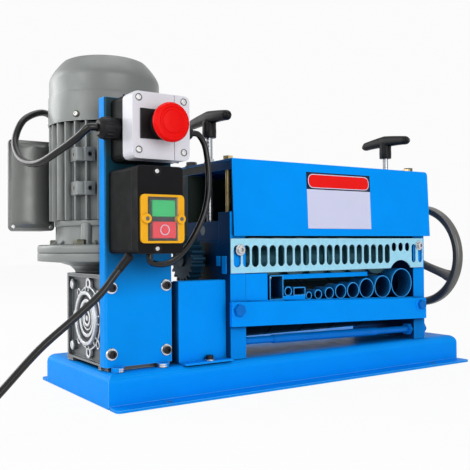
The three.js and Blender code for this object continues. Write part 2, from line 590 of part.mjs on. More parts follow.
function fanCowl() {
  const low = bodyTop + GAP;
  const profileAt = (inset) => [
    [COWL.radius - inset, 0], [COWL.sideRadius - inset, COWL.sideHeight - inset],
    [COWL.chamferRadius - inset, COWL.chamferHeight - inset],
    [COWL.rimRadius - inset, COWL.rimHeight - inset],
    [COWL.crownRadius - inset, COWL.crownHeight - inset], [0, COWL.height - inset],
  ];
  const outer = turned('z', motorX, motorY, low, [[0, 0], ...profileAt(0)], 32);
  const inner = turned('z', motorX, motorY, low, [[0, -OVERRUN], [COWL.radius - COWL.sheet, -OVERRUN],
    ...profileAt(COWL.sheet)], 32);
  let cowl = outer.subtract(inner);
  for (let i = 0; i < COWL.slots; i += 1) {
    const slot = box(COWL.slotInner, -COWL.slotWidth * HALF, low + COWL.chamferHeight, COWL.slotOuter,
      COWL.slotWidth * HALF, cowlTop + OVERRUN);
    cowl = cowl.subtract(slot.rotate([0, 0, fullTurn * i / COWL.slots]).translate([motorX, motorY, 0]));
  }
  return cowl;
}

// Terminal box beside the motor
function terminalBox() {
  const front = terminalFront + TERMINAL.lidDepth + GAP;
  const back = terminalBack;
  const left = terminalLeft + TERMINAL.bodyInset;
  let body = prism('y', roundedRect(left, terminalBottom, terminalRight, terminalTop, TERMINAL.wall),
    front, back);
  const inset = TERMINAL.wall;
  body = body.subtract(box(left + inset, front - OVERRUN, terminalBottom + inset,
    terminalRight - inset, back - inset, terminalTop - inset));
  const neck = box(terminalRight - inset * HALF, terminalFront + TERMINAL.neckFront,
    terminalBottom + TERMINAL.neckLift, terminalRight + TERMINAL.neckReach,
    terminalFront + TERMINAL.neckBack, terminalTop - TERMINAL.neckDrop);
  body = body.add(neck.subtract(rod('z', motorX, motorY, MOTOR.finRadius + GAP, terminalBottom,
    terminalTop, 48)));
  body = body.add(rod('y', terminalGlandX, terminalGlandZ, TERMINAL.glandRadius, back - SINK,
    back + TERMINAL.glandLength, 12));
  return body;
}

function terminalBoxLid() {
  const rimFront = terminalFront;
  const middle = (terminalLeft + terminalRight) * HALF;
  const half = (terminalRight - terminalLeft) * HALF - TERMINAL.bulgeInset;
  const outline = [];
  for (let i = 0; i <= 8; i += 1) {
    const angle = (TURN / 2) * i / 8;
    outline.push([middle + half * Math.cos(angle), rimFront + SINK - TERMINAL.bulge * Math.sin(angle)]);
  }
  const plate = prism('y', roundedRect(terminalLeft, terminalBottom, terminalRight, terminalTop,
    TERMINAL.wall),
    rimFront, rimFront + TERMINAL.lidDepth);
  return plate.add(prism('z', outline, terminalBottom + TERMINAL.bulgeInset,
    terminalTop - TERMINAL.bulgeInset));
}

// Emergency stop box
function estopShell(front, back, openBack) {
  const x0 = stopX - ESTOP.width * HALF;
  const z0 = stopZ - ESTOP.height * HALF;
  const outer = prism('y', roundedRect(x0, z0, x0 + ESTOP.width, z0 + ESTOP.height, ESTOP.corner),
    front, back);
  const inset = ESTOP.wall;
  const hollowFront = openBack ? front + inset : front - OVERRUN;
  const hollowBack = openBack ? back + OVERRUN : back - inset;
  return outer.subtract(prism('y', roundedRect(x0 + inset, z0 + inset, x0 + ESTOP.width - inset,
    z0 + ESTOP.height - inset, ESTOP.corner - inset), hollowFront, hollowBack));
}

const estopLid = () => estopShell(stopFront, estopSeam - GAP, true)
  .subtract(rod('y', stopX, stopAxisZ, ESTOP.hole, stopFront - OVERRUN, stopFront + ESTOP.wall + OVERRUN));

const estopBase = () => estopShell(estopSeam, estopBack, false);

function estopPlate() {
  const x0 = stopX - ESTOP.plateWidth * HALF;
  const z0 = stopAxisZ - ESTOP.plateHeight * HALF;
  return box(x0, stopFront - GAP - ESTOP.plateThickness, z0, x0 + ESTOP.plateWidth, stopFront - GAP,
    z0 + ESTOP.plateHeight)
    .subtract(rod('y', stopX, stopAxisZ, ESTOP.hole, stopFront - ESTOP.plateThickness - OVERRUN,
      stopFront + OVERRUN));
}

const estopPlunger = () => rod('y', stopX, stopAxisZ, ESTOP.stemRadius, headBack + GAP,
  stopFront + ESTOP.wall + ESTOP.press);

function estopHead() {
  const full = ESTOP.headThickness;
  const edge = full * HALF * HALF;
  const radius = ESTOP.headRadius;
  return turned('y', stopX, stopAxisZ, headBack, [
    [0, 0], [radius - edge, 0], [radius, -edge], [radius, -full + edge * HALF], [radius - edge, -full],
    [0, -full],
  ].map(([r, h]) => [r, -h]), 36);
}

function gland(side) {
  const leftward = side === 'left';
  const radius = leftward ? GLAND.leftRadius : GLAND.rightRadius;
  const length = leftward ? GLAND.leftLength : GLAND.rightLength;
  const z = leftward ? glandLeftZ : glandRightZ;
  const wall = stopX + (leftward ? -HALF : HALF) * ESTOP.width;
  const start = wall + (leftward ? -GAP : GAP);
  const direction = leftward ? -1 : 1;
  const neck = radius * GLAND.collarShare;
  const profile = [[0, 0], [radius, 0], [radius, length - GLAND.collar], [neck, length - GLAND.collar],
    [neck, length], [0, length]];
  return turned('x', glandY, z, start, profile.map(([r, h]) => [r, h * direction]), 16);
}

// Switch box with start and stop buttons
function switchShell(front, back, openBack) {
  const outer = prism('y', roundedRect(switchLeft, switchBottom, switchRight, switchTop,
    SWITCH.corner), front, back);
  const inset = SWITCH.wall;
  const hollowFront = openBack ? front + inset : front - OVERRUN;
  const hollowBack = openBack ? back + OVERRUN : back - inset;
  return outer.subtract(box(switchLeft + inset, hollowFront, switchBottom + inset, switchRight - inset,
    hollowBack, switchTop - inset));
}

const moduleHalf = SWITCH.frameSize * HALF - SWITCH.moduleInset;

const switchBody = () => switchShell(switchSeam, switchBack, false);

function switchCover() {
  const half = moduleHalf + GAP;
  return switchShell(switchFront, switchSeam - GAP, true)
    .subtract(box(frameMiddle - half, switchFront - OVERRUN, frameCentreZ - half, frameMiddle + half,
      switchFront + SWITCH.wall + OVERRUN, frameCentreZ + half));
}

const earPlaces = [frameMiddle - SWITCH.earSpan * HALF, frameMiddle + SWITCH.earSpan * HALF];

function switchFrame() {
  const back = switchFront - GAP;
  const front = back - SWITCH.frameThickness;
  const half = SWITCH.frameSize * HALF;
  let frame = prism('y', roundedRect(frameMiddle - half, frameBottom, frameMiddle + half,
    frameBottom + SWITCH.frameSize, SWITCH.corner), front, back);
  frame = frame.subtract(box(frameMiddle - SWITCH.windowWidth * HALF, front - OVERRUN,
    frameCentreZ - SWITCH.windowHeight * HALF, frameMiddle + SWITCH.windowWidth * HALF, back + OVERRUN,
    frameCentreZ + SWITCH.windowHeight * HALF));
  for (const x of earPlaces) {
    frame = frame.add(rod('y', x, frameCentreZ, SWITCH.earRadius, back - SWITCH.earHeight, back, 14));
  }
  return frame;
}

const buttonSpans = [
  { name: 'start_button', bottom: switchBottom + SWITCH.startLift, height: SWITCH.startHeight,
    proud: SWITCH.startProud, look: green },
  { name: 'stop_button', bottom: switchBottom + SWITCH.stopLift, height: SWITCH.stopHeight,
    proud: SWITCH.stopProud, look: red },
];
const buttonLeft = frameMiddle - SWITCH.buttonWidth * HALF;

function switchModule() {
  const front = switchFront + GAP;
  let block = box(frameMiddle - moduleHalf, front, frameCentreZ - moduleHalf, frameMiddle + moduleHalf,
    front + SWITCH.moduleDepth, frameCentreZ + moduleHalf);
  for (const { bottom, height } of buttonSpans) {
    block = block.subtract(box(buttonLeft - GAP, front - OVERRUN, bottom - GAP,
      buttonLeft + SWITCH.buttonWidth + GAP,
      front + SWITCH.buttonDepth + SWITCH.press, bottom + height + GAP));
  }
  return block;
}

const pushButton = ({ bottom, height, proud }) => box(buttonLeft, switchFront - proud, bottom,
  buttonLeft + SWITCH.buttonWidth, switchFront + SWITCH.buttonDepth, bottom + height);

function clearCover() {
  const back = switchFront - GAP * HALF;
  const front = back - SWITCH.coverProud;
  const halfX = SWITCH.windowWidth * HALF - GAP;
  const halfZ = SWITCH.windowHeight * HALF - GAP;
  const skin = SWITCH.membrane;
  let cover = box(frameMiddle - halfX, front, frameCentreZ - halfZ, frameMiddle + halfX, back,
    frameCentreZ + halfZ)
    .subtract(box(frameMiddle - halfX + skin, front + skin, frameCentreZ - halfZ + skin,
      frameMiddle + halfX - skin, back + OVERRUN, frameCentreZ + halfZ - skin));
  for (const x of earPlaces) {
    cover = cover.subtract(rod('y', x, frameCentreZ, SWITCH.earRadius + GAP, front - OVERRUN,
      back + OVERRUN, 14));
  }
  return cover;
}

// Machine head: two frame plates, top plate and hood
function framePlate(left) {
  const { legTop, legDepth } = PLATES;
  const front = platesFront;
  const back = platesBack;
  const right = left + PLATES.thickness;
  const outline = [
    [front, seatZ], [back, seatZ], [back, topPlateBottom - GAP], [back - legDepth, topPlateBottom - GAP],
    [back - legDepth, slotFloor], [front + legDepth, slotFloor], [front + legDepth, legTop], [front,
      legTop],
  ];
  let plate = prism('x', outline, left, right);
  const hole = (y, z, radius, from, to) => rod('x', y, z, radius, from, to, 24);
  plate = plate.subtract(hole(driveY, DRIVE.axisZ, DRIVE.shaftRadius + DRIVE.running, left - OVERRUN,
    right + OVERRUN));
  plate = plate.subtract(hole(driveY, cutterZ, CUTTER.shaftRadius + DRIVE.running, left - OVERRUN,
    right + OVERRUN));
  const rodAtLeft = left === platesLeft;
  plate = plate.subtract(hole(front + TIE_ROD.fromFront, rodAtLeft ? TIE_ROD.leftZ : TIE_ROD.rightZ,
    TIE_ROD.holeRadius,
    rodAtLeft ? right - TIE_ROD.entry : left - OVERRUN, right + OVERRUN));
  return plate.subtract(rod('z', left + PLATES.thickness * HALF, front + TOP_BOLT.fromFront,
    TOP_BOLT.radius + GAP,
    legTop - TOP_BOLT.depth, legTop + OVERRUN, 12));
}

const screwPlaces = [leftMiddle, rightMiddle];

function topPlate() {
  let plate = box(platesLeft + TOP_PLATE.leftInset, platesFront + TOP_PLATE.frontInset, topPlateBottom,
    rightOuter - TOP_PLATE.rightInset, platesBack, topPlateTop);
  for (const x of screwPlaces) {
    plate = plate.subtract(rod('z', x, driveY, T_HANDLE.rodRadius + GAP, topPlateBottom - OVERRUN,
      topPlateTop + OVERRUN, 16));
    plate = plate.subtract(rod('z', x, platesFront + TOP_BOLT.fromFront, TOP_BOLT.radius + GAP,
      topPlateBottom - OVERRUN, topPlateTop + OVERRUN, 12));
  }
  return plate;
}

function topBolt(x) {
  const y = platesFront + TOP_BOLT.fromFront;
  const head = hoodTop + GAP;
  return rod('z', x, y, TOP_BOLT.radius, PLATES.legTop - TOP_BOLT.depth + GAP, head + SINK, 12)
    .add(rod('z', x, y, TOP_BOLT.headRadius, head, head + TOP_BOLT.headHeight, 6));
}

function hood() {
  const shell = (inset, open) => {
    const left = platesLeft + HOOD.leftInset - open;
    const bottom = HOOD.bottom - open;
    const right = rightOuter + HOOD.rightOverhang - inset;
    const top = hoodTop - inset;
    const back = hoodBack - inset;
    const fall = HOOD.splay * (top - bottom) / (hoodTop - HOOD.bottom);
    const frontTop = platesFront - GAP + inset;
    const radius = HOOD.corner - inset;
    const facing = [[left, bottom], [right, bottom], ...corner(right - radius, top - radius, radius, 0,
      3), [left, top]];
    const side = [[frontTop - fall, bottom], [back, bottom], [back, top], [frontTop, top]];
    return prism('y', facing, frontTop - fall - OVERRUN, back + OVERRUN)
      .intersect(prism('x', side, left - OVERRUN, right + OVERRUN));
  };
  let cover = shell(0, 0).subtract(shell(HOOD.sheet, OVERRUN));
  for (const x of screwPlaces) {
    cover = cover.subtract(rod('z', x, driveY, T_HANDLE.rodRadius + GAP, topPlateTop - OVERRUN,
      hoodTop + OVERRUN, 16));
    cover = cover.subtract(rod('z', x, platesFront + TOP_BOLT.fromFront, TOP_BOLT.radius + GAP,
      topPlateTop - OVERRUN, hoodTop + OVERRUN, 12));
  }
  return cover;
}

// Drive line
const gearboxInner = gearboxLeft + GEARBOX.recess + OVERRUN;

const lowerShaft = () => rod('x', driveY, DRIVE.axisZ, DRIVE.shaftRadius, gearboxInner + OVERRUN,
  rightOuter - OVERRUN, 24);

function gearWheel(teeth, pitchRadius, axisZ, bore, firstTooth) {
  const step = TURN / teeth;
  const outline = [];
  const at = (radius, angle) => outline.push([driveY + radius * Math.cos(angle),
    axisZ + radius * Math.sin(angle)]);
  for (let i = 0; i < teeth; i += 1) {
    const middle = firstTooth + step * i;
    const tip = pitchRadius + GEARS.module * GEARS.addendumShare;
    const root = pitchRadius - GEARS.module * GEARS.dedendumShare;
    at(root, middle - step * GEARS.rootShare);
    at(tip, middle - step * GEARS.tipShare);
    at(tip, middle + step * GEARS.tipShare);
    at(root, middle + step * GEARS.rootShare);
  }
  return prism('x', outline, gearsLeft, gearsRight)
    .subtract(rod('x', driveY, axisZ, bore + GAP, gearsLeft - OVERRUN, gearsRight + OVERRUN, 24));
}

const lowerGear = () => gearWheel(GEARS.lowerTeeth, lowerPitch, DRIVE.axisZ, DRIVE.shaftRadius, TURN / 4);
const cutterGear = () => gearWheel(GEARS.cutterTeeth, cutterPitch, cutterZ, CUTTER.shaftRadius,
  -TURN / 4 + TURN * HALF / GEARS.cutterTeeth);

function lowerRoller() {
  const left = leftInner + CUTTER.endGap;
  const right = rightInner - CUTTER.endGap;
  const bore = DRIVE.shaftRadius + GAP;
  const outer = DRIVE.rollerRadius;
  const pitch = (right - left) / DRIVE.grooves;
  const profile = [[bore, 0], [outer, 0]];
  for (let i = 1; i < DRIVE.grooves; i += 1) {
    const middle = pitch * i;
    const half = DRIVE.rollerGroove;
    profile.push([outer, middle - half], [outer - half, middle], [outer, middle + half]);
  }
  profile.push([outer, right - left], [bore, right - left], [bore, 0]);
  return turned('x', driveY, DRIVE.axisZ, left, profile, 24);
}

const hubLeft = rightOuter + WHEEL.hubOffset;
const hubRight = hubLeft + WHEEL.hubLength;
const cutterShaft = () => rod('x', driveY, cutterZ, CUTTER.shaftRadius, gearsLeft - OVERRUN,
  hubRight + OVERRUN, 24);

function cutterDiscs() {
  const left = leftInner + CUTTER.endGap;
  const right = rightInner - CUTTER.endGap;
  const bore = CUTTER.shaftRadius + GAP;
  const pitch = (right - left - CUTTER.discThickness) / (CUTTER.discs - 1);
  const profile = [[bore, 0]];
  for (let i = 0; i < CUTTER.discs; i += 1) {
    const start = pitch * i;
    const end = start + CUTTER.discThickness;
    if (i > 0) profile.push([CUTTER.sleeveRadius, start]);
    profile.push([CUTTER.discRadius, start], [CUTTER.discRadius, end]);
    if (i < CUTTER.discs - 1) profile.push([CUTTER.sleeveRadius, end]);
  }
  profile.push([bore, right - left], [bore, 0]);
  return turned('x', driveY, cutterZ, left, profile, 20);
}

function pressRoller() {
  const left = leftInner + CUTTER.endGap;
  const right = rightInner - CUTTER.endGap;
  return rod('x', driveY, pressZ, PRESS.shaftRadius, platesLeft + GAP, rightOuter - GAP, 20)
    .add(rod('x', driveY, pressZ, PRESS.rollerRadius, left, right, 24));
}

function bearingBlock(plateLeft) {
  const front = platesFront + PLATES.legDepth + GAP;
  const back = platesBack - PLATES.legDepth - GAP;
  return box(plateLeft + GAP, front, blockBottom, plateLeft + PLATES.thickness - GAP, back, blockTop)
    .subtract(rod('x', driveY, pressZ, PRESS.shaftRadius + DRIVE.running, plateLeft - OVERRUN,
      plateLeft + PLATES.thickness + OVERRUN, 20));
}

// Pressure screws with T handles
const handleBottom = (x) => hoodTop + (x === leftMiddle ? T_HANDLE.leftLift : T_HANDLE.rightLift);

const pressScrew = (x) => rod('z', x, driveY, T_HANDLE.rodRadius, blockTop + GAP,
  handleBottom(x) + T_HANDLE.grip, 14);

function tHandle(x) {
  const low = handleBottom(x);
  const y = driveY;
  const hub = turned('z', x, y, low, [[0, 0], [T_HANDLE.hubRadius, 0], [T_HANDLE.hubTopRadius,
    T_HANDLE.hubHeight],
    [0, T_HANDLE.hubHeight]], 20);
  const middle = low + T_HANDLE.barRise;
  const end = middle - T_HANDLE.droop;
  const tip = T_HANDLE.barHalf - T_HANDLE.endHalfHeight;
  const outline = [];
  for (let i = 0; i <= 6; i += 1) {
    const angle = -TURN / 4 + (TURN / 2) * i / 6;
    outline.push([y + tip + T_HANDLE.endHalfHeight * Math.cos(angle),
      end + T_HANDLE.endHalfHeight * Math.sin(angle)]);
  }
  outline.push([y, middle + T_HANDLE.barHalfHeight]);
  for (let i = 0; i <= 6; i += 1) {
    const angle = TURN / 4 + (TURN / 2) * i / 6;
    outline.push([y - tip + T_HANDLE.endHalfHeight * Math.cos(angle),
      end + T_HANDLE.endHalfHeight * Math.sin(angle)]);
  }
  outline.push([y, middle - T_HANDLE.barHalfHeight]);
  const bar = prism('x', outline, x - T_HANDLE.barWidth * HALF, x + T_HANDLE.barWidth * HALF);
  return hub.add(bar).subtract(rod('z', x, y, T_HANDLE.rodRadius + GAP, low - OVERRUN,
    low + T_HANDLE.grip + GAP, 14));
}

// Front of the head
function combPlate() {
  const back = platesFront - GAP;
  const front = back - COMB.sheet;
  const left = platesLeft - COMB.leftOverhang;
  const right = rightOuter - COMB.rightInset;
  let plate = box(left, front, COMB.bottom, right, back, COMB.top);
  const cut = (outline) => { plate = plate.subtract(prism('y', outline, front - OVERRUN,
    back + OVERRUN)); };
  const total = COMB.longCount + COMB.shortCount + COMB.endCount;
  const spacing = (right - left - COMB.firstSlot - COMB.lastSlot) / (total - 1);
  for (let i = 0; i < total; i += 1) {
    const x = left + COMB.firstSlot + spacing * i;
    const short = i >= COMB.longCount && i < COMB.longCount + COMB.shortCount;
    if (short) cut(obround(x, COMB.shortCentre, COMB.shortWidth, COMB.shortHeight));
    else if (i < COMB.longCount) cut(obround(x, COMB.slotCentre, COMB.slotWidth, COMB.slotHeight));
    else cut(obround(x, COMB.slotCentre, COMB.endWidth, COMB.slotHeight));
  }
  cut(circle(right - COMB.notchInset, COMB.notchZ, COMB.notchRadius, 28));
  return plate;
}

function roundTube(x, bottom, diameter, front, back) {
  const z = bottom + diameter * HALF;
  return rod('y', x, z, diameter * HALF, front, back, 16)
    .subtract(rod('y', x, z, diameter * HALF - GUIDE.wall, front - OVERRUN, back + OVERRUN, 16));
}

function flatTube(left, bottom, width, height, front, back) {
  const wall = GUIDE.wall;
  return box(left, front, bottom, left + width, back, bottom + height)
    .subtract(box(left + wall, front - OVERRUN, bottom + wall, left + width - wall, back + OVERRUN,
      bottom + height - wall));
}

function tubeGuide() {
  const front = platesFront + GAP;
  const back = front + GUIDE.tubeLength;
  const left = leftInner + GAP;
  const right = rightInner - GAP;
  let guide = prism('y', [
    [left, trayZ(left) - GUIDE.traySheet], [right, trayZ(right) - GUIDE.traySheet],
    [right, trayZ(right)], [left, trayZ(left)],
  ], front, back);
  const raise = (inset, width, top) => box(leftInner + inset, front,
    trayZ(leftInner + inset) - GUIDE.traySheet, leftInner + inset + width, back, top);
  guide = guide.add(raise(GUIDE.blockInset, GUIDE.blockWidth, GUIDE.blockTop));
  guide = guide.add(raise(GUIDE.stepInset, GUIDE.stepWidth, GUIDE.stepTop));
  const tallLeft = leftInner + TALL_TUBE.inset;
  guide = guide.add(flatTube(tallLeft, trayZ(tallLeft) - SINK, TALL_TUBE.width, TALL_TUBE.height, front,
    back));
  guide = guide.add(roundTube(leftInner + STEP_TUBE.inset, GUIDE.stepTop - SINK, STEP_TUBE.diameter, front,
    back));
  guide = guide.add(flatTube(leftInner + FLAT_TUBE.inset, GUIDE.stepTop - SINK, FLAT_TUBE.width,
    FLAT_TUBE.height, front, back));
  for (const tube of Object.keys(TUBE_PLACE_SHARE)) {
    const x = leftInner + platesSpan * TUBE_PLACE_SHARE[tube];
    guide = guide.add(roundTube(x, trayZ(x) - SINK, platesSpan * TUBE_SIZE_SHARE[tube], front, back));
  }
  const barFront = front + GUIDE.barFront;
  guide = guide.add(box(tallLeft + TALL_TUBE.width - GUIDE.wall * HALF, barFront, GUIDE.barBottom,
    rightInner - GUIDE.barInset, barFront + GUIDE.barDepth, GUIDE.barTop));
  return guide;
}

function frontBeam() {
  const back = platesFront - GAP;
  const right = rightOuter - BEAM.rightInset;
  const topAt = (x) => trayZ(x) - BEAM.topBelowTray;
  return prism('y', [
    [platesLeft, topAt(platesLeft) - BEAM.height], [right, topAt(right) - BEAM.height],
    [right, topAt(right)], [platesLeft, topAt(platesLeft)],
  ], back - BEAM.thickness, back);
}

function tieRod() {
  const slope = (TIE_ROD.rightZ - TIE_ROD.leftZ) / platesSpan;
  const tilt = -THREE.MathUtils.radToDeg(Math.atan(slope));
  const innerNut = platesSpan - GAP;
  const outerNut = platesSpan + PLATES.thickness + GAP;
  const nut = (from) => rod('x', 0, 0, TIE_ROD.nutRadius, from, from + TIE_ROD.nutHeight, 6);
  return rod('x', 0, 0, TIE_ROD.radius, GAP - TIE_ROD.entry, outerNut + TIE_ROD.nutHeight + GAP, 14)
    .add(rod('x', 0, 0, TIE_ROD.sleeveRadius, TIE_ROD.sleeveStart, platesSpan - TIE_ROD.sleeveInset, 14))
    .add(nut(innerNut - TIE_ROD.nutHeight))
    .add(nut(outerNut))
    .rotate([0, tilt, 0])
    .translate([leftInner, platesFront + TIE_ROD.fromFront, TIE_ROD.leftZ]);
}

function gearCover() {
  const { top, sheet, lip, foot } = GEAR_COVER;
  const front = platesFront + GEAR_COVER.setback;
  const right = platesLeft - GEAR_COVER.gap;
  const outline = [
    [front - foot, seatZ], [front + sheet, seatZ], [front + sheet, top - sheet], [front + lip,
      top - sheet],
    [front + lip, top], ...corner(front + sheet, top - sheet, sheet, TURN / 4, 3),
    [front, seatZ + sheet], [front - foot, seatZ + sheet],
  ];
  const left = right - GEAR_COVER.width;
  return prism('x', outline, left, right)
    .add(box(left, front, seatZ, left + sheet, front + GEAR_COVER.side, top - sheet * HALF));
}

function handwheel() {
  const rimX = rightOuter + WHEEL.rimOffset;
  const inner = WHEEL.radius - WHEEL.rimDepth;
  const edge = WHEEL.rimEdge;
  const width = WHEEL.rimWidth;
  let wheel = turned('x', driveY, cutterZ, rimX - width * HALF, [
    [inner, edge], [inner + edge, 0], [WHEEL.radius - edge, 0], [WHEEL.radius, edge],
    [WHEEL.radius, width - edge], [WHEEL.radius - edge, width], [inner + edge, width],
    [inner, width - edge], [inner, edge],
  ], 36);
  wheel = wheel.add(rod('x', driveY, cutterZ, WHEEL.hubRadius, hubLeft, hubRight, 24));
  const reach = inner + edge * HALF;
  const half = WHEEL.spokeDepth * HALF;
  const halfWidth = WHEEL.spokeWidth * HALF;
  const hubX = (hubLeft + hubRight) * HALF;
  const profile = [[hubX - half, 0], [rimX - half, reach], [rimX + half, reach], [hubX + half, 0]];
  for (let i = 0; i < WHEEL.spokes; i += 1) {
    const flat = prism('z', profile, -halfWidth, halfWidth);
    const turn = WHEEL.firstSpoke + fullTurn * i / WHEEL.spokes;
    wheel = wheel.add(flat.rotate([turn, 0, 0]).translate([0, driveY, cutterZ]));
  }
  return wheel.subtract(rod('x', driveY, cutterZ, CUTTER.shaftRadius + GAP, hubLeft - OVERRUN,
    hubRight + OVERRUN, 24));
}

// Points given by a run's numbers, counted from a starting place
function runPoints(run, [fromX, fromY, fromZ]) {
  const flat = Object.values(run);
  const points = [];
  for (let i = 0; i < flat.length; i += 3) {
    points.push([fromX + flat[i], fromY + flat[i + 1], fromZ + flat[i + 2]]);
  }
  return points;
}

// Cables held between two housings
const cableLead = LINK_CABLE.radius * 2 + GAP;
const terminalEnd = terminalBack + TERMINAL.glandLength;
const glandLeftEnd = stopX - ESTOP.width * HALF - GAP - GLAND.leftLength;
const glandRightEnd = stopX + ESTOP.width * HALF + GAP + GLAND.rightLength;

const motorLinkRoute = [
  [glandLeftEnd - GAP, glandY, glandLeftZ], [glandLeftEnd - cableLead, glandY, glandLeftZ],
  ...runPoints(MOTOR_LINK, [glandLeftEnd - GAP, glandY, glandLeftZ]),
  [terminalGlandX, terminalEnd + cableLead, terminalGlandZ],
  [terminalGlandX, terminalEnd + GAP, terminalGlandZ],
];

const entryX = switchLeft + SWITCH_ENTRY.inset;
const entryY = switchFront + SWITCH_ENTRY.setback;
const switchLinkRoute = [
  [glandRightEnd + GAP, glandY, glandRightZ], [glandRightEnd + cableLead, glandY, glandRightZ],
  ...runPoints(SWITCH_LINK, [glandRightEnd + GAP, glandY, glandRightZ]),
  [entryX, entryY, switchBottom - cableLead], [entryX, entryY, switchBottom - GAP],
];

// Mains lead: it leaves the bottom of the switch box, runs down to the bench and ends in a coil and a plug
const mainsX = switchLeft + MAINS.inset;
const mainsY = switchFront + MAINS.setback;
const reliefWay = new THREE.Vector3(MAINS.reliefX, MAINS.reliefY, MAINS.reliefZ).normalize();
const mainsAt = (along) => [mainsX + reliefWay.x * along, mainsY + reliefWay.y * along,
  switchBottom - GAP + reliefWay.z * along];

// Tapered strain relief, leaning the way the cord leaves and cut level under the box
function mainsBush() {
  const sunk = MAINS.reliefRadius * 2;
  const cone = new THREE.CylinderGeometry(MAINS.reliefRadius, MAINS.reliefEnd,
    MAINS.reliefLength + sunk, 14);
  const upright = new THREE.Vector3(0, -1, 0);
  cone.applyQuaternion(new THREE.Quaternion().setFromUnitVectors(upright, reliefWay));
  cone.translate(...mainsAt((MAINS.reliefLength - sunk) * HALF));
  const reach = MAINS.reliefLength;
  const top = switchBottom - GAP;
  return solid(cone).subtract(box(mainsX - reach, mainsY - reach, top, mainsX + reach, mainsY + reach,
    top + reach));
}

const floorZ = MAINS.radius + GAP;
const mainsLead = MAINS.radius * 2;
const coilX = baseLeft - COIL.reach;
const coilY = columnFront - COIL.setback;
const mainsRoute = [
  mainsAt(MAINS.reliefLength + GAP), mainsAt(MAINS.reliefLength + GAP + mainsLead),
  ...runPoints(MAINS_RUN, [mainsX, mainsY, 0]),
  [coilX + mainsLead * 2, coilY - COIL.outer, floorZ], [coilX + GAP, coilY - COIL.outer, floorZ],
];

function coilPath(t) {
  const turns = COIL.turnsPerLayer;
  const inward = t < turns ? t : 2 * turns - t;
  const radius = COIL.outer - COIL.step * inward;
  const climb = THREE.MathUtils.smoothstep(t, turns - HALF * HALF, turns + HALF * HALF);
  const angle = -TURN / 4 - TURN * t;
  return new THREE.Vector3(coilX + radius * Math.cos(angle), coilY + radius * Math.sin(angle),
    floorZ + COIL.layerStep * climb);
}

// One unbroken tube with flat ends, joined ring by ring
function coil() {
  const total = 2 * COIL.turnsPerLayer;
  const steps = total * COIL.perTurn;
  const vertices = [];
  const faces = [];
  for (let i = 0; i <= steps; i += 1) {
    const t = total * i / steps;
    const middle = coilPath(t);
    const ahead = coilPath(Math.min(t + 1e-3, total)).sub(coilPath(Math.max(t - 1e-3, 0))).normalize();
    if (i === 0 || i === steps) ahead.set(-1, 0, 0);
    const side = new THREE.Vector3(0, 0, 1).cross(ahead).normalize();
    const up = ahead.clone().cross(side);
    for (let k = 0; k < COIL.sides; k += 1) {
      const angle = TURN * k / COIL.sides;
      vertices.push(middle.clone().addScaledVector(side, MAINS.radius * Math.cos(angle))
        .addScaledVector(up, MAINS.radius * Math.sin(angle)));
    }
  }
  const ring = (i, k) => i * COIL.sides + (k % COIL.sides);
  for (let i = 0; i < steps; i += 1) {
    for (let k = 0; k < COIL.sides; k += 1) {
      faces.push([ring(i, k), ring(i, k + 1), ring(i + 1, k + 1)], [ring(i, k), ring(i + 1, k + 1),
        ring(i + 1, k)]);
    }
  }
  for (let k = 1; k < COIL.sides - 1; k += 1) {
    faces.push([ring(0, 0), ring(0, k + 1), ring(0, k)]);
    faces.push([ring(steps, 0), ring(steps, k), ring(steps, k + 1)]);
  }
  const geometry = new THREE.BufferGeometry();
  geometry.setAttribute('position', new THREE.Float32BufferAttribute(vertices.flatMap((p) => [p.x, p.y,
    p.z]), 3));
  geometry.setIndex(faces.flat());
  return solid(geometry);
}

// Least gap of the coil to itself, between points more than half a turn apart along it
function coilGap() {
  const samples = [];
  const perTurn = COIL.perTurn * 3;
  const total = 2 * COIL.turnsPerLayer;
  for (let i = 0; i <= total * perTurn; i += 1) samples.push(coilPath(i / perTurn));
  let least = Infinity;
  for (let i = 0; i < samples.length; i += 1) {
    for (let k = i + perTurn * HALF; k < samples.length; k += 1) {
      least = Math.min(least, samples[i].distanceTo(samples[k]));
    }
  }
  return least - 2 * MAINS.radius;
}

const coilEndZ = floorZ + COIL.layerStep;
const plugLeft = coilX - PLUG.reach;
const plugY = coilY - PLUG.setback;
const tailRoute = [
  [coilX - GAP, coilY - COIL.outer, coilEndZ], [coilX - mainsLead * 2, coilY - COIL.outer, coilEndZ],
  ...runPoints(TAIL_RUN, [coilX, coilY - COIL.outer, 0]),
  [plugLeft + PLUG.bodyLength + mainsLead, plugY, PLUG.height * HALF],
  [plugLeft + PLUG.bodyLength + GAP, plugY, PLUG.height * HALF],
];

function plug() {
  const { bodyLength, width, height } = PLUG;
  const left = plugLeft;
  const y = plugY;
  const right = left + bodyLength;
  const neck = width * HALF * PLUG.gripShare;
  const shoulder = left + bodyLength * PLUG.gripShare;
  let body = prism('z', [
    [left, y - width * HALF], [shoulder, y - width * HALF], [right, y - neck], [right, y + neck],
    [shoulder, y + width * HALF], [left, y + width * HALF],
  ], GAP, height);
  for (const side of [-1, 1]) {
    body = body.add(rod('x', y + side * PLUG.pinSpan * HALF, height * HALF, PLUG.pinRadius,
      left - PLUG.pinLength, left + SINK, 10));
  }
  return body;
}

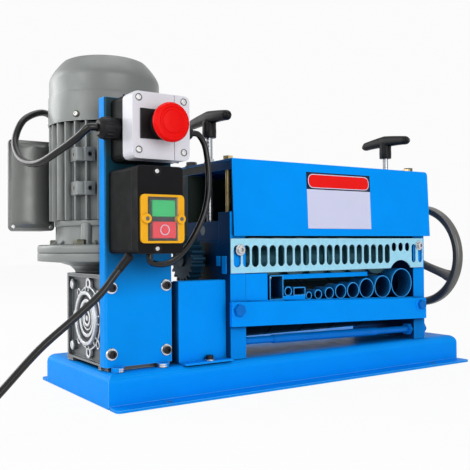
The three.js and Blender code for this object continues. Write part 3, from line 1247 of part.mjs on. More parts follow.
// The whole machine
add('base_pan', basePan(), blue);
add('column_bracket', columnBracket(), blue);
add('gearbox_housing', gearboxHousing(), cast);
add('gearbox_side_cover', gearboxSideCover(), cast);
add('worm_wheel', wormWheel(), brass);
add('worm', worm(), steel);
add('gearbox_flange', gearboxFlange(), motorGrey);
add('motor_end_shield', motorEndShield(), motorGrey);
add('motor_body', motorBody(), motorGrey);
add('motor_rotor', motorRotor(), steel);
add('motor_fan', motorFan(), black);
add('motor_fan_cowl', fanCowl(), motorGrey);
add('terminal_box', terminalBox(), motorGrey);
add('terminal_box_lid', terminalBoxLid(), motorGrey);
add('estop_box_base', estopBase(), paleGrey);
add('estop_box_lid', estopLid(), paleGrey);
add('estop_plate', estopPlate(), black);
add('estop_plunger', estopPlunger(), black);
add('estop_button', estopHead(), red);
add('estop_gland_left', gland('left'), black);
add('estop_gland_right', gland('right'), black);
add('switch_box_body', switchBody(), black);
add('switch_box_cover', switchCover(), black);
add('switch_frame', switchFrame(), yellow);
add('switch_module', switchModule(), black);
add('switch_clear_cover', clearCover(), clear);
for (const button of buttonSpans) add(button.name, pushButton(button), button.look);
add('left_frame_plate', framePlate(platesLeft), blue);
add('right_frame_plate', framePlate(rightInner), blue);
add('top_plate', topPlate(), blue);
add('top_bolt_left', topBolt(leftMiddle), steel);
add('top_bolt_right', topBolt(rightMiddle), steel);
add('hood', hood(), blue);
add('lower_roller_shaft', lowerShaft(), steel);
add('lower_roller', lowerRoller(), steel);
add('lower_gear', lowerGear(), steel);
add('cutter_shaft', cutterShaft(), steel);
add('cutter_discs', cutterDiscs(), steel);
add('cutter_gear', cutterGear(), steel);
add('handwheel', handwheel(), wheelGrey);
add('bearing_block_left', bearingBlock(platesLeft), steel);
add('bearing_block_right', bearingBlock(rightInner), steel);
add('pressure_roller', pressRoller(), steel);
add('pressure_screw_left', pressScrew(leftMiddle), steel);
add('pressure_screw_right', pressScrew(rightMiddle), steel);
add('t_handle_left', tHandle(leftMiddle), black);
add('t_handle_right', tHandle(rightMiddle), black);
add('comb_plate', combPlate(), combSteel);
add('tube_guide', tubeGuide(), blue);
add('front_beam', frontBeam(), blue);
add('tie_rod', tieRod(), blue);
add('gear_cover', gearCover(), blue);
add('motor_link_cable', tubeAlong(motorLinkRoute, LINK_CABLE.radius, LINK_CABLE.sides,
  LINK_CABLE.radius * 4), black);
add('switch_link_cable', tubeAlong(switchLinkRoute, LINK_CABLE.radius, LINK_CABLE.sides,
  LINK_CABLE.radius * 4), black);
add('mains_bush', mainsBush(), black);

// The origin lies under the middle of the machine, measured without the free cord
const extent = new THREE.Box3().setFromObject(machine);
const middle = extent.getCenter(new THREE.Vector3());

add('mains_cord', tubeAlong(mainsRoute, MAINS.radius, MAINS.sides, MAINS.radius * 4.6), black);
add('cord_coil', coil(), black);
add('cord_tail', tubeAlong(tailRoute, MAINS.radius, MAINS.sides, MAINS.radius * 4.6), black);
add('plug', plug(), black);

machine.position.set(-middle.x, -middle.y, -extent.min.z);
console.log(`coil least gap to itself ${coilGap().toFixed(2)} mm`);
console.log(`origin offset x ${middle.x.toFixed(3)} y ${middle.y.toFixed(3)} z ${extent.min.z.toFixed(3)}`);

export default machine;
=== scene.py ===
import bpy
import bmesh
from math import asin, cos, pi, radians, sin, sqrt, tan
from mathutils import Matrix, Vector


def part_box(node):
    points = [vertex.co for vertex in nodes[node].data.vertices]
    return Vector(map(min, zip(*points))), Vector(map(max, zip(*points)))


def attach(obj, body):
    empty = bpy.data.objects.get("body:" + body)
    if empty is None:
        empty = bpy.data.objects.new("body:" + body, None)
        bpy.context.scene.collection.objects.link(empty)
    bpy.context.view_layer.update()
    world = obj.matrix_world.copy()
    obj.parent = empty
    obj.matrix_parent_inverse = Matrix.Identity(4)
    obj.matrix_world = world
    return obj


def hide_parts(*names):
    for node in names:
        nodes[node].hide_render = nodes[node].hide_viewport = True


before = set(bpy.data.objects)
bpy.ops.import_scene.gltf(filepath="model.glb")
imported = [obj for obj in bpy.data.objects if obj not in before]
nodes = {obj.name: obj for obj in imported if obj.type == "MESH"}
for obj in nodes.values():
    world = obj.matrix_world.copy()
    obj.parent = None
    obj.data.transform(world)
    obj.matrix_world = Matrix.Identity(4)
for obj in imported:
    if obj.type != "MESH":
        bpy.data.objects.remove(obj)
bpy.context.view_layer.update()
TURN = 2 * pi
TIP = 1e-6          # a smaller radius is a point
GAP = 0.3           # between pieces that touch, in millimetres
FRONT, UP, LEFT = (0, -1, 0), (0, 0, 1), (-1, 0, 0)

# The layout is in millimetres about the middle of the base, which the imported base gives.
base_low, base_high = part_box("base_pan")
MIDDLE = Vector(((base_low.x + base_high.x) / 2, (base_low.y + base_high.y) / 2, 0))


def at(x, y, z):
    return Vector((x / 1000, y / 1000, z / 1000)) + MIDDLE


def ends_of(name):
    """The low and the high corner of a node's box in the layout, to a hundredth of a millimetre."""
    return [[round(v, 2) for v in (corner - MIDDLE) * 1000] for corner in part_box(name)]


def centre_of(name):
    return [(a + b) / 2 for a, b in zip(*ends_of(name))]


# Camera
def make_camera():
    yaw, pitch, roll = radians(33.68), radians(0.862), radians(-0.438)
    forward = Vector((sin(yaw) * cos(pitch), cos(yaw) * cos(pitch), sin(pitch)))
    right = Vector((cos(yaw), -sin(yaw), 0))
    up = right.cross(forward)
    turned_right = right * cos(roll) + up * sin(roll)
    turned_up = up * cos(roll) - right * sin(roll)
    place = Matrix((turned_right, turned_up, -forward)).transposed().to_4x4()
    place.translation = at(-579.0, -790.2, 172.0)
    data = bpy.data.cameras.new("camera")
    data.lens, data.sensor_width = 54.07, 36
    data.clip_start, data.clip_end = 0.01, 50
    camera = bpy.data.objects.new("camera", data)
    bpy.context.scene.collection.objects.link(camera)
    camera.matrix_world = place
    bpy.context.scene.camera = camera


make_camera()


# Materials
def add(tree, kind, **sockets):
    """A new node with its sockets set or linked. An underscore stands for a space in a socket's name."""
    made = tree.nodes.new("ShaderNode" + kind)
    for name, value in sockets.items():
        socket = made.inputs[name.replace("_", " ")]
        if isinstance(value, bpy.types.NodeSocket):
            tree.links.new(value, socket)
        else:
            socket.default_value = value
    return made


def mix(tree, kind, factor, first, second):
    """Two colours mixed, where each may be a colour or the output of another node."""
    mixed = add(tree, "Mix")
    mixed.data_type, mixed.blend_type = "RGBA", kind
    for index, value in ((0, factor), (6, first), (7, second)):
        if isinstance(value, bpy.types.NodeSocket):
            tree.links.new(value, mixed.inputs[index])
        else:
            mixed.inputs[index].default_value = (*value, 1) if index else value
    return mixed.outputs[2]


def ranged(tree, value, start, end, low=0, high=1):
    """A value moved from one range to another, and kept within it."""
    return add(tree, "MapRange", Value=value, From_Min=start, From_Max=end, To_Min=low,
               To_Max=high).outputs["Result"]


def openness(tree, distance):
    made = add(tree, "AmbientOcclusion", Distance=distance)
    made.samples = 6
    return made.outputs["AO"]


def painted_shade_by_facing(tree, tint, axis, way, along, start, end, first, last):
    """Painted shade: faces that point one way along an axis take a tone that changes with their place."""
    spot = add(tree, "NewGeometry")
    facing = add(tree, "SeparateXYZ", Vector=spot.outputs["Normal"]).outputs[axis]
    here = add(tree, "SeparateXYZ", Vector=spot.outputs["Position"]).outputs[along]
    tone = mix(tree, "MIX", ranged(tree, here, start, end), first or tint, last)
    return mix(tree, "MIX", ranged(tree, facing, 0.4 * way, 0.8 * way), tint, tone)


def edge_wear_and_highlight(tree, tint, wear_and_highlight, width):
    """Edges, where the bevelled normal leaves the true one, show the edge colour: rubbed paint and metal on
    most materials, and a painted highlight on the blue paints.
    """
    edge, flat = add(tree, "Bevel", Radius=width), add(tree, "NewGeometry")
    edge.samples = 4
    turn = add(tree, "VectorMath")
    turn.operation = "DOT_PRODUCT"
    tree.links.new(edge.outputs["Normal"], turn.inputs[0])
    tree.links.new(flat.outputs["Normal"], turn.inputs[1])
    return mix(tree, "MIX", ranged(tree, turn.outputs["Value"], 0.995, 0.9, 0, 0.8), tint, wear_and_highlight)


def surface(name, colour, rough=0.5, metal=0.0, coat=0.0, coat_rough=0.1, vary=0.06, vary_scale=25,
            grain=900, bump=0.04, rough_vary=0.12, wear_and_highlight=None, edge_width=0.0006, alpha=1.0,
            stretch=(1, 1, 1), speckle=0.0, speckle_scale=220, dirt=0.0, deep=0.0, gloss=0.5,
            reach=0.09, open_from=0.12, open_to=0.42, shade=()):
    """A paint, metal or plastic with uneven tone and grain; on request, edges in a colour of their own
    (rubbed paint, on the blues a painted highlight), and painted shade in corners and hollows.
    """
    made = bpy.data.materials.new(name)
    made.use_nodes = True
    tree = made.node_tree
    shader = tree.nodes["Principled BSDF"]
    for socket, value in (("Metallic", metal), ("Coat Weight", coat), ("Coat Roughness", coat_rough),
                          ("Specular IOR Level", gloss), ("Alpha", alpha)):
        shader.inputs[socket].default_value = value
    scaled = add(tree, "Mapping", Vector=add(tree, "TexCoord").outputs["Object"], Scale=stretch)

    def noise(scale, detail=3, rough_share=0.5):
        return add(tree, "TexNoise", Vector=scaled.outputs["Vector"], Scale=scale, Detail=detail,
                   Roughness=rough_share).outputs["Fac"]

    def spread(value, low, high):
        return ranged(tree, value, 0.3, 0.7, low, high)

    dark = tuple(c * (1 - vary) for c in colour)
    light = tuple(min(1, c * (1 + vary)) for c in colour)
    tint = mix(tree, "MIX", spread(noise(vary_scale), 0, 1), dark, light)
    if speckle:
        dim = mix(tree, "MULTIPLY", 1.0, tint, (1 - speckle,) * 3)
        tint = mix(tree, "MIX", spread(noise(speckle_scale, 1, 0.3), 0, 1), dim, tint)
    # Painted shade: corners and creases, found by ambient occlusion over 12 mm, are darkened towards grey.
    if dirt:
        tint = mix(tree, "MULTIPLY", spread(openness(tree, 0.012), dirt, 0), tint, (0.35, 0.36, 0.4))
    # Painted shade: hollows and places under or between parts, found by ambient occlusion over the reach,
    # are darkened towards a dark blue-grey.
    if deep:
        closed = ranged(tree, openness(tree, reach), open_from, open_to, deep, 0)
        tint = mix(tree, "MULTIPLY", closed, tint, (0.02, 0.03, 0.05))
    # Painted shade on faces that point one way, by their place.
    for tone in shade:
        tint = painted_shade_by_facing(tree, tint, *tone)
    # Edge colour: rubbed edges, and on the blue paints a painted highlight on bends and rims.
    if wear_and_highlight:
        tint = edge_wear_and_highlight(tree, tint, wear_and_highlight, edge_width)
    low, high = rough * (1 - rough_vary), min(1, rough * (1 + rough_vary))
    relief = add(tree, "Bump", Strength=bump, Distance=0.001, Height=noise(grain, 2))
    tree.links.new(tint, shader.inputs["Base Color"])
    tree.links.new(spread(noise(vary_scale * 3), low, high), shader.inputs["Roughness"])
    tree.links.new(relief.outputs["Normal"], shader.inputs["Normal"])
    return made


def threaded(name, colour, rough, metal, pitch, direction):
    """A metal with the ridges of a thread, for a pitch in millimetres."""
    made = surface(name, colour, rough, metal)
    tree = made.node_tree
    wave = add(tree, "TexWave", Vector=add(tree, "TexCoord").outputs["Object"], Scale=100 / pitch)
    wave.wave_type, wave.bands_direction, wave.wave_profile = "BANDS", direction, "TRI"
    relief = add(tree, "Bump", Strength=0.3, Distance=0.0004, Height=wave.outputs["Fac"])
    tree.links.new(relief.outputs["Normal"], tree.nodes["Principled BSDF"].inputs["Normal"])
    return made


# On the blue paints a lighter edge colour is a painted highlight on bends and rims.
def blue(name, wear_and_highlight, edge_width, colour=(0.0, 0.31, 0.97), **more):
    return surface(name, colour, 0.42, vary=0.03, grain=650, bump=0.03, gloss=0.04, wear_and_highlight=wear_and_highlight,
                   edge_width=edge_width, **more)


# A painted shade is a normal axis and its sense, the axis of the place, its start and end in metres, and
# two colours
# Painted shade for the inner faces of back walls inside the head.
BACK_WALL_SHADE = (0.03, 0.042, 0.034)
# These blues darken corners and hollows as painted shade; the lighter edge colour is a painted highlight,
# widest on the base's bends.
BLUE = blue("blue paint", (0.04, 0.42, 1.0), 0.0007, dirt=0.3, deep=0.95)
BASE_BLUE = blue("blue base paint", (0.16, 0.56, 1.0), 0.0012, dirt=0.3, deep=0.95)
# The column's front is painted darker from 115 mm up and again from 266 mm up: painted shade and painted
# reflection of the dark parts around it.
COLUMN_BLUE = blue("blue column paint", (0.12, 0.50, 0.95), 0.0007, (0.0, 0.29, 0.88), dirt=0.3, deep=0.9,
                   shade=[("Y", -1, "Z", 0.115, 0.18, None, (0.006, 0.045, 0.07)),
                          ("Y", -1, "Z", 0.266, 0.278, None, (0.025, 0.05, 0.06))])
# Painted shade: the left faces go from navy to near black towards the back, the window's back wall is
# dimmed, and hollows over a long reach are darkened.
FRAME_BLUE = blue("blue frame paint", (0.02, 0.30, 0.8), 0.0006, dirt=0.3, deep=0.95,
                  reach=0.25, open_from=0.3, open_to=0.6,
                  shade=[("X", -1, "Y", -0.05, -0.026, (0.0, 0.034, 0.12), (0.002, 0.005, 0.006)),
                         ("Y", -1, "Y", -0.04, -0.01, None, BACK_WALL_SHADE)])
# Painted shade: hollows over a long reach and the inner faces of the back wall and its lip are darkened.
HOOD_BLUE = blue("blue hood paint", (0.04, 0.42, 1.0), 0.0006, deep=0.98, reach=0.25, open_from=0.35,
                 open_to=0.75, shade=[("Y", -1, "Y", -0.04, 0.0, None, BACK_WALL_SHADE)])
# Painted shade inside the tubes; the lighter edge colour is a painted highlight on the rims.
TUBE_BLUE = blue("blue tube paint", (0.14, 0.60, 1.0), 0.0009, (0.02, 0.34, 0.95), dirt=0.3, deep=0.98,
                 open_from=0.3, open_to=0.95)
CAST = surface("cast aluminium", (0.14, 0.15, 0.155), 0.42, 0.5, vary=0.14, vary_scale=60, grain=520,
               bump=0.25, wear_and_highlight=(0.8, 0.82, 0.84), edge_width=0.0008, dirt=0.8)
# The recessed face of the side cover, near black as painted shade between the raised rings.
CAST_RECESS_SHADE = surface("cast recess in painted shade", (0.022, 0.025, 0.027), 0.55, 0.3, vary=0.2, vary_scale=60, grain=420,
                    bump=0.3)
CAST_LIGHT = surface("bright casting", (0.62, 0.64, 0.66), 0.4, 0.7, vary=0.14, vary_scale=80, grain=520,
                     bump=0.2, wear_and_highlight=(0.95, 0.95, 0.97), edge_width=0.0008, dirt=0.9)
# Painted shade: the cowl's top and the fronts high on the motor are darker, as where light falls less.
MOTOR = surface("silver grey paint", (0.225, 0.24, 0.232), 0.42, 0.25, grain=480, bump=0.1,
                wear_and_highlight=(0.5, 0.52, 0.52), edge_width=0.0007, dirt=0.75,
                shade=[("Z", 1, "Z", 0.355, 0.372, None, (0.125, 0.135, 0.13)),
                       ("Y", -1, "Z", 0.30, 0.325, None, (0.165, 0.175, 0.168))])
BOX_GREY = surface("dark grey paint", (0.155, 0.16, 0.152), 0.36, 0.35, grain=480, bump=0.05,
                   wear_and_highlight=(0.4, 0.42, 0.42), edge_width=0.0007, dirt=0.6)
STEEL = surface("turned steel", (0.42, 0.44, 0.46), 0.28, 0.95, vary=0.08, vary_scale=90, grain=300,
                bump=0.03, stretch=(8, 1, 1), dirt=0.6)
# Blue paint darkened to navy as painted shade, for the bearing blocks inside the head.
NAVY_SHADE = surface("blue paint in navy shade", (0.0, 0.035, 0.12), 0.4, vary=0.1, grain=500, bump=0.05, dirt=0.7, gloss=0.03)
# Dark oiled rollers and shafts, made darker still as painted shade inside the head.
OILED_AND_SHADED = surface("oiled and shaded steel", (0.018, 0.032, 0.042), 0.32, 0.7, vary=0.2, vary_scale=90, grain=300,
                bump=0.05, stretch=(8, 1, 1), dirt=0.9, gloss=0.3)
KNIFE = surface("knife steel", (0.045, 0.165, 0.21), 0.4, 0.3, vary=0.1, grain=500, bump=0.03, gloss=0.3)
# Gear steel tinted dark navy as painted shade; also for the block behind the left of the guide.
SHADED_GEAR = surface("gear steel in navy shade", (0.008, 0.04, 0.075), 0.4, 0.3, vary=0.15, grain=500, bump=0.05, dirt=0.5,
               gloss=0.15)
BRIGHT = surface("bright zinc", (0.60, 0.61, 0.62), 0.25, 1.0, vary=0.08, grain=500, bump=0.03, dirt=0.8)
SCREW = surface("screw steel", (0.56, 0.56, 0.55), 0.35, 0.8, vary=0.12, grain=500, bump=0.05, dirt=0.95,
                wear_and_highlight=(0.7, 0.7, 0.68), edge_width=0.0003)
ZINC_YELLOW = surface("yellow zinc", (0.60, 0.46, 0.22), 0.3, 0.9, vary=0.16, vary_scale=80, grain=500,
                      bump=0.05)
OLIVE = surface("olive zinc", (0.07, 0.07, 0.05), 0.4, 0.7, vary=0.16, vary_scale=80, grain=500, bump=0.05)
DARK_STEEL = surface("brown steel", (0.10, 0.085, 0.07), 0.35, 0.8, vary=0.2, vary_scale=90, grain=500,
                     bump=0.05, wear_and_highlight=(0.3, 0.27, 0.22))
GALVANISED = surface("galvanised sheet", (0.36, 0.73, 0.90), 0.38, 0.25, vary=0.05, vary_scale=160,
                     grain=520, bump=0.05, rough_vary=0.25, speckle=0.05, speckle_scale=520,
                     wear_and_highlight=(0.8, 0.95, 1.0), gloss=0.3)
BRONZE = surface("bronze", (0.5, 0.3, 0.12), 0.35, 0.95)
BLACK = surface("black plastic", (0.009, 0.009, 0.010), 0.45, vary=0.15, grain=1400, bump=0.08,
                wear_and_highlight=(0.04, 0.04, 0.045), edge_width=0.0007, gloss=0.15)
# Painted shade: faces turned to the left are darker.
DARK_BOX = surface("dark housing", (0.010, 0.010, 0.011), 0.5, vary=0.12, grain=1400,
                   bump=0.06, wear_and_highlight=(0.05, 0.05, 0.055), edge_width=0.0008, gloss=0.04,
                   shade=[("X", -1, "Z", 0.0, 0.01, None, (0.004, 0.0045, 0.005))])
GLOSS_BLACK = surface("black gloss", (0.005, 0.005, 0.006), 0.4, grain=500, bump=0.03,
                      wear_and_highlight=(0.02, 0.02, 0.023), gloss=0.15)
BLACK_STEEL = surface("blackened steel", (0.02, 0.02, 0.022), 0.35, 0.8, grain=700, bump=0.05)
GREY_BOX = surface("grey housing", (0.70, 0.70, 0.75), 0.42, vary=0.02, grain=1300, bump=0.05,
                   wear_and_highlight=(0.85, 0.85, 0.88), edge_width=0.0006, gloss=0.3)
RED = surface("red plastic", (0.80, 0.003, 0.002), 0.4, vary=0.03, bump=0.03, gloss=0.1)
GREEN = surface("green key", (0.0, 0.50, 0.13), 0.4, vary=0.05, bump=0.03, gloss=0.2)
RED_KEY = surface("red key", (0.80, 0.02, 0.035), 0.4, vary=0.05, bump=0.03, gloss=0.2)
YELLOW = surface("yellow plastic", (0.86, 0.41, 0.0), 0.42, vary=0.04, grain=1000, bump=0.05,
                 wear_and_highlight=(1.0, 0.58, 0.06), dirt=0.5, gloss=0.25)
PALE = surface("pale print", (0.66, 0.67, 0.86), 0.5, vary=0.02, bump=0.01, gloss=0.15)
LABEL_DARK = surface("dark print", (0.006, 0.012, 0.03), 0.45, vary=0.1, bump=0.01, gloss=0.15)
LABEL_RED = surface("red print", (0.86, 0.006, 0.004), 0.45, vary=0.04, bump=0.01, gloss=0.15)
RUBBER = surface("cable sheath", (0.005, 0.005, 0.006), 0.2, vary=0.2, bump=0.05, gloss=0.35)
WHEEL = surface("dark casting", (0.12, 0.12, 0.115), 0.36, 0.7, vary=0.15, grain=520, bump=0.1,
                wear_and_highlight=(0.2, 0.2, 0.2), edge_width=0.0008, gloss=0.4)
MEMBRANE = surface("clear membrane", (0.85, 0.88, 0.9), 0.1, coat=0.2, coat_rough=0.05, grain=120,
                   gloss=0.2, alpha=0.05)
THREAD_Z = threaded("threaded steel", (0.30, 0.31, 0.32), 0.3, 0.9, 1.5, "Z")
TIE = surface("tie rod paint", (0.0, 0.17, 0.62), 0.35, vary=0.1, bump=0.03, gloss=0.12)


# Building helpers
def smooth(data, degrees):
    data.polygons.foreach_set("use_smooth", [True] * len(data.polygons))
    data.set_sharp_from_angle(angle=radians(degrees))


def soften(obj, width, segments, degrees):
    if width:
        bevel = obj.modifiers.new("edge", "BEVEL")
        bevel.width, bevel.segments = width / 1000, segments
        bevel.limit_method, bevel.angle_limit = "ANGLE", radians(degrees)
        bevel.harden_normals = True
        bevel.use_clamp_overlap = True


def piece(name, points, faces, look, bevel=0.0, degrees=35, segments=2, **more):
    data = bpy.data.meshes.new(name)
    data.from_pydata([at(*p) for p in points], [], faces)
    shape = bmesh.new()
    shape.from_mesh(data)
    bmesh.ops.remove_doubles(shape, verts=shape.verts, dist=1e-6)
    bmesh.ops.recalc_face_normals(shape, faces=shape.faces)
    shape.to_mesh(data)
    shape.free()
    smooth(data, degrees)
    obj = bpy.data.objects.new(name, data)
    bpy.context.scene.collection.objects.link(obj)
    soften(obj, bevel, segments, degrees)
    return settle(obj, look, **more)


def settle(obj, look, body="frame", stands_for=()):
    obj.data.materials.clear()
    obj.data.materials.append(look)
    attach(obj, body)
    if stands_for:
        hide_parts(*([stands_for] if isinstance(stands_for, str) else stands_for))
    return obj


def turned(profile, count, spot, closed=False):
    """Points and faces of a profile turned about a line. The function spot places each of its points."""
    points, faces, starts = [], [], []
    for radius, height in profile:
        starts.append(len(points))
        points += [spot(radius, TURN * k / count, height) for k in range(1 if radius < TIP else count)]
    pairs = [(i, i + 1) for i in range(len(profile) - 1)]
    if closed:
        pairs.append((len(profile) - 1, 0))
    for i, j in pairs:
        a, b = starts[i], starts[j]
        tip_a, tip_b = profile[i][0] < TIP, profile[j][0] < TIP
        for k in range(count):
            n = (k + 1) % count
            if tip_a and tip_b:
                continue
            if tip_a:
                faces.append((a, b + k, b + n))
            elif tip_b:
                faces.append((a + k, a + n, b))
            else:
                faces.append((a + k, a + n, b + n, b + k))
    return points, faces


def lathe(name, axis, centre, profile, look, sides=96, closed=False, start=0.0, **more):
    """A profile of radii and heights turned about an axis through the centre."""
    x, y, z = centre

    def spot(radius, angle, height):
        c, s = radius * cos(start + angle), radius * sin(start + angle)
        return {"x": (x + height, y + c, z + s), "y": (x + c, y + height, z + s),
                "z": (x + c, y + s, z + height)}[axis]

    return piece(name, *turned(profile, sides, spot, closed), look, **more)


def bolt(name, centre, way, radius, height, look, washer=0.0, socket=True, sides=32, washer_look=None,
         body="frame", washer_height=1.2):
    """A screw head standing on a face, along any direction, with a washer under it if asked for."""
    way = Vector(way).normalized()
    side = way.orthogonal().normalized()
    other = way.cross(side)

    def spot(r, angle, along):
        return Vector(centre) + way * along + side * (r * cos(angle)) + other * (r * sin(angle))

    rise = washer_height if washer else 0.0
    if washer:
        profile = [(0, -GAP), (washer, -GAP), (washer, rise * 0.7), (washer - 0.4, rise), (0, rise)]
        piece(name + "_washer", *turned(profile, 40, spot), washer_look or BRIGHT, body=body)
    top, inner = rise + height, radius * 0.52
    deep = top - height * 0.6
    profile = [(0, rise - GAP), (radius, rise - GAP), (radius, top - 0.5), (radius - 0.5, top)]
    profile += [(inner, top), (inner * 0.94, deep), (0, deep)] if socket else [(0, top)]
    return piece(name, *turned(profile, sides, spot), look, body=body)


def squared(angle, half_u, half_v, power):
    """A point of an oval with squared corners."""
    c, s = cos(angle), sin(angle)
    return half_u * abs(c) ** power * (1 if c > 0 else -1), half_v * abs(s) ** power * (1 if s > 0 else -1)


def rounded(points, radius=1.0, steps=3):
    """The corners of a profile, rounded. A point may carry a radius of its own."""
    out = []
    count = len(points)
    for i, point in enumerate(points):
        own = point[2] if len(point) > 2 else radius
        here = Vector(point[:2])
        if own <= 0:
            out.append(tuple(here))
            continue
        before, after = Vector(points[i - 1][:2]), Vector(points[(i + 1) % count][:2])
        a, b = before - here, after - here
        if a.length < 1e-6 or b.length < 1e-6:
            out.append(tuple(here))
            continue
        angle = a.angle(b)
        whole = own / tan(angle / 2) if angle < pi - 0.01 else 0
        reach = min(whole, a.length * 0.49, b.length * 0.49)
        start, end = here + a.normalized() * reach, here + b.normalized() * reach
        for k in range(steps + 1):
            t = k / steps
            out.append(tuple(start * (1 - t) ** 2 + here * 2 * t * (1 - t) + end * t * t))
    return out


def circle(u, v, radius, sides=32):
    angles = [TURN * i / sides for i in range(sides)]
    return [(u + radius * cos(a), v + radius * sin(a)) for a in angles]


def obround(u, v, width, height):
    r, reach, steps = width / 2, (height - width) / 2, 10
    angles = [pi * i / steps for i in range(steps + 1)]
    return [(u + way * r * cos(a), v + way * (reach + r * sin(a))) for way in (1, -1) for a in angles]


def rect(u0, v0, u1, v1, radius=0.0, steps=5):
    points = [(u0, v0), (u1, v0), (u1, v1), (u0, v1)]
    return rounded(points, radius, steps) if radius else points


def plate(name, axis, outline, holes, low, high, bevel, look, **more):
    """A flat piece with holes, cut from an outline and softened along every edge."""
    curve = bpy.data.curves.new(name, "CURVE")
    curve.dimensions, curve.fill_mode = "2D", "BOTH"
    for loop in [outline, *holes]:
        spline = curve.splines.new("POLY")
        spline.points.add(len(loop) - 1)
        for k, (u, v) in enumerate(loop):
            spline.points[k].co = (u / 1000, v / 1000, 0, 1)
        spline.use_cyclic_u = True
    curve.extrude = max(0.0, (high - low) / 2 - bevel) / 1000
    curve.bevel_depth, curve.bevel_resolution, curve.offset = bevel / 1000, 2, -bevel / 1000
    maker = bpy.data.objects.new(name + "_maker", curve)
    bpy.context.scene.collection.objects.link(maker)
    bpy.context.view_layer.update()
    data = bpy.data.meshes.new_from_object(maker.evaluated_get(bpy.context.evaluated_depsgraph_get()))
    bpy.data.objects.remove(maker)
    middle = (low + high) / 2000
    turn = {"x": Matrix(((0, 0, 1, middle), (1, 0, 0, 0), (0, 1, 0, 0), (0, 0, 0, 1))),
            "y": Matrix(((1, 0, 0, 0), (0, 0, -1, middle), (0, 1, 0, 0), (0, 0, 0, 1))),
            "z": Matrix(((1, 0, 0, 0), (0, 1, 0, 0), (0, 0, 1, middle), (0, 0, 0, 1)))}[axis]
    data.transform(Matrix.Translation(MIDDLE) @ turn)
    data.name = name
    smooth(data, 40)
    obj = bpy.data.objects.new(name, data)
    bpy.context.scene.collection.objects.link(obj)
    return settle(obj, look, **more)


def block(name, low, high, look, bevel=0.6, segments=3, **more):
    (x0, y0, z0), (x1, y1, z1) = low, high
    points = [(x, y, z) for x in (x0, x1) for y in (y0, y1) for z in (z0, z1)]
    faces = [(0, 1, 3, 2), (4, 6, 7, 5), (0, 4, 5, 1), (2, 3, 7, 6), (0, 2, 6, 4), (1, 5, 7, 3)]
    return piece(name, points, faces, look, bevel=bevel, segments=segments, **more)


def loft(name, rings, look, **more):
    """Rings of points joined one to the next, with both ends closed."""
    points = [p for ring in rings for p in ring]
    count = len(rings[0])
    faces = []
    for i in range(len(rings) - 1):
        for k in range(count):
            n = (k + 1) % count
            faces.append((i * count + k, i * count + n, (i + 1) * count + n, (i + 1) * count + k))
    faces.append(tuple(range(count)))
    faces.append(tuple((len(rings) - 1) * count + k for k in range(count)))
    return piece(name, points, faces, look, **more)


def catmull(points, spacing):
    """Points along a centripetal spline through the given ones, in millimetres."""
    knots = [Vector(p) for p in points]
    knots = [knots[0] * 2 - knots[1], *knots, knots[-1] * 2 - knots[-2]]
    out = []
    for i in range(1, len(knots) - 2):
        p0, p1, p2, p3 = knots[i - 1:i + 3]
        t0 = 0.0
        t1 = t0 + (p1 - p0).length ** 0.5
        t2 = t1 + (p2 - p1).length ** 0.5
        t3 = t2 + (p3 - p2).length ** 0.5
        steps = max(1, round((p2 - p1).length / spacing))
        for k in range(steps):
            t = t1 + (t2 - t1) * k / steps
            a1 = p0 * ((t1 - t) / (t1 - t0)) + p1 * ((t - t0) / (t1 - t0))
            a2 = p1 * ((t2 - t) / (t2 - t1)) + p2 * ((t - t1) / (t2 - t1))
            a3 = p2 * ((t3 - t) / (t3 - t2)) + p3 * ((t - t2) / (t3 - t2))
            b1 = a1 * ((t2 - t) / (t2 - t0)) + a2 * ((t - t0) / (t2 - t0))
            b2 = a2 * ((t3 - t) / (t3 - t1)) + a3 * ((t - t1) / (t3 - t1))
            out.append(b1 * ((t2 - t) / (t2 - t1)) + b2 * ((t - t1) / (t2 - t1)))
    out.append(knots[-2])
    return out


def cable(name, points, radius, look, stands_for):
    curve = bpy.data.curves.new(name, "CURVE")
    curve.dimensions, curve.bevel_depth, curve.bevel_resolution = "3D", radius / 1000, 6
    curve.use_fill_caps = True
    spline = curve.splines.new("POLY")
    spline.points.add(len(points) - 1)
    for k, p in enumerate(points):
        spline.points[k].co = (*at(*p), 1)
    spline.use_smooth = True
    obj = bpy.data.objects.new(name, curve)
    bpy.context.scene.collection.objects.link(obj)
    return settle(obj, look, stands_for=stands_for)


def length_of(points):
    return sum((Vector(b) - Vector(a)).length for a, b in zip(points, points[1:]))


# The mains lead
CORD_RADIUS = 3.75
FLOOR = CORD_RADIUS + GAP
SWITCH_BOTTOM = ends_of("switch_box_body")[0][2]
COIL = {"x": -482, "y": -109, "outer": 51, "step": 8.4, "layer": 8, "turns": 3}
PLUG = {"length": 44, "height": 24, "left": -630, "y": -150}
BUSH_WAY = Vector((-13.9, -1.2, -15.7)).normalized()
BUSH_START = Vector((-262.4, -120, SWITCH_BOTTOM - GAP))
BUSH_LENGTH = 22


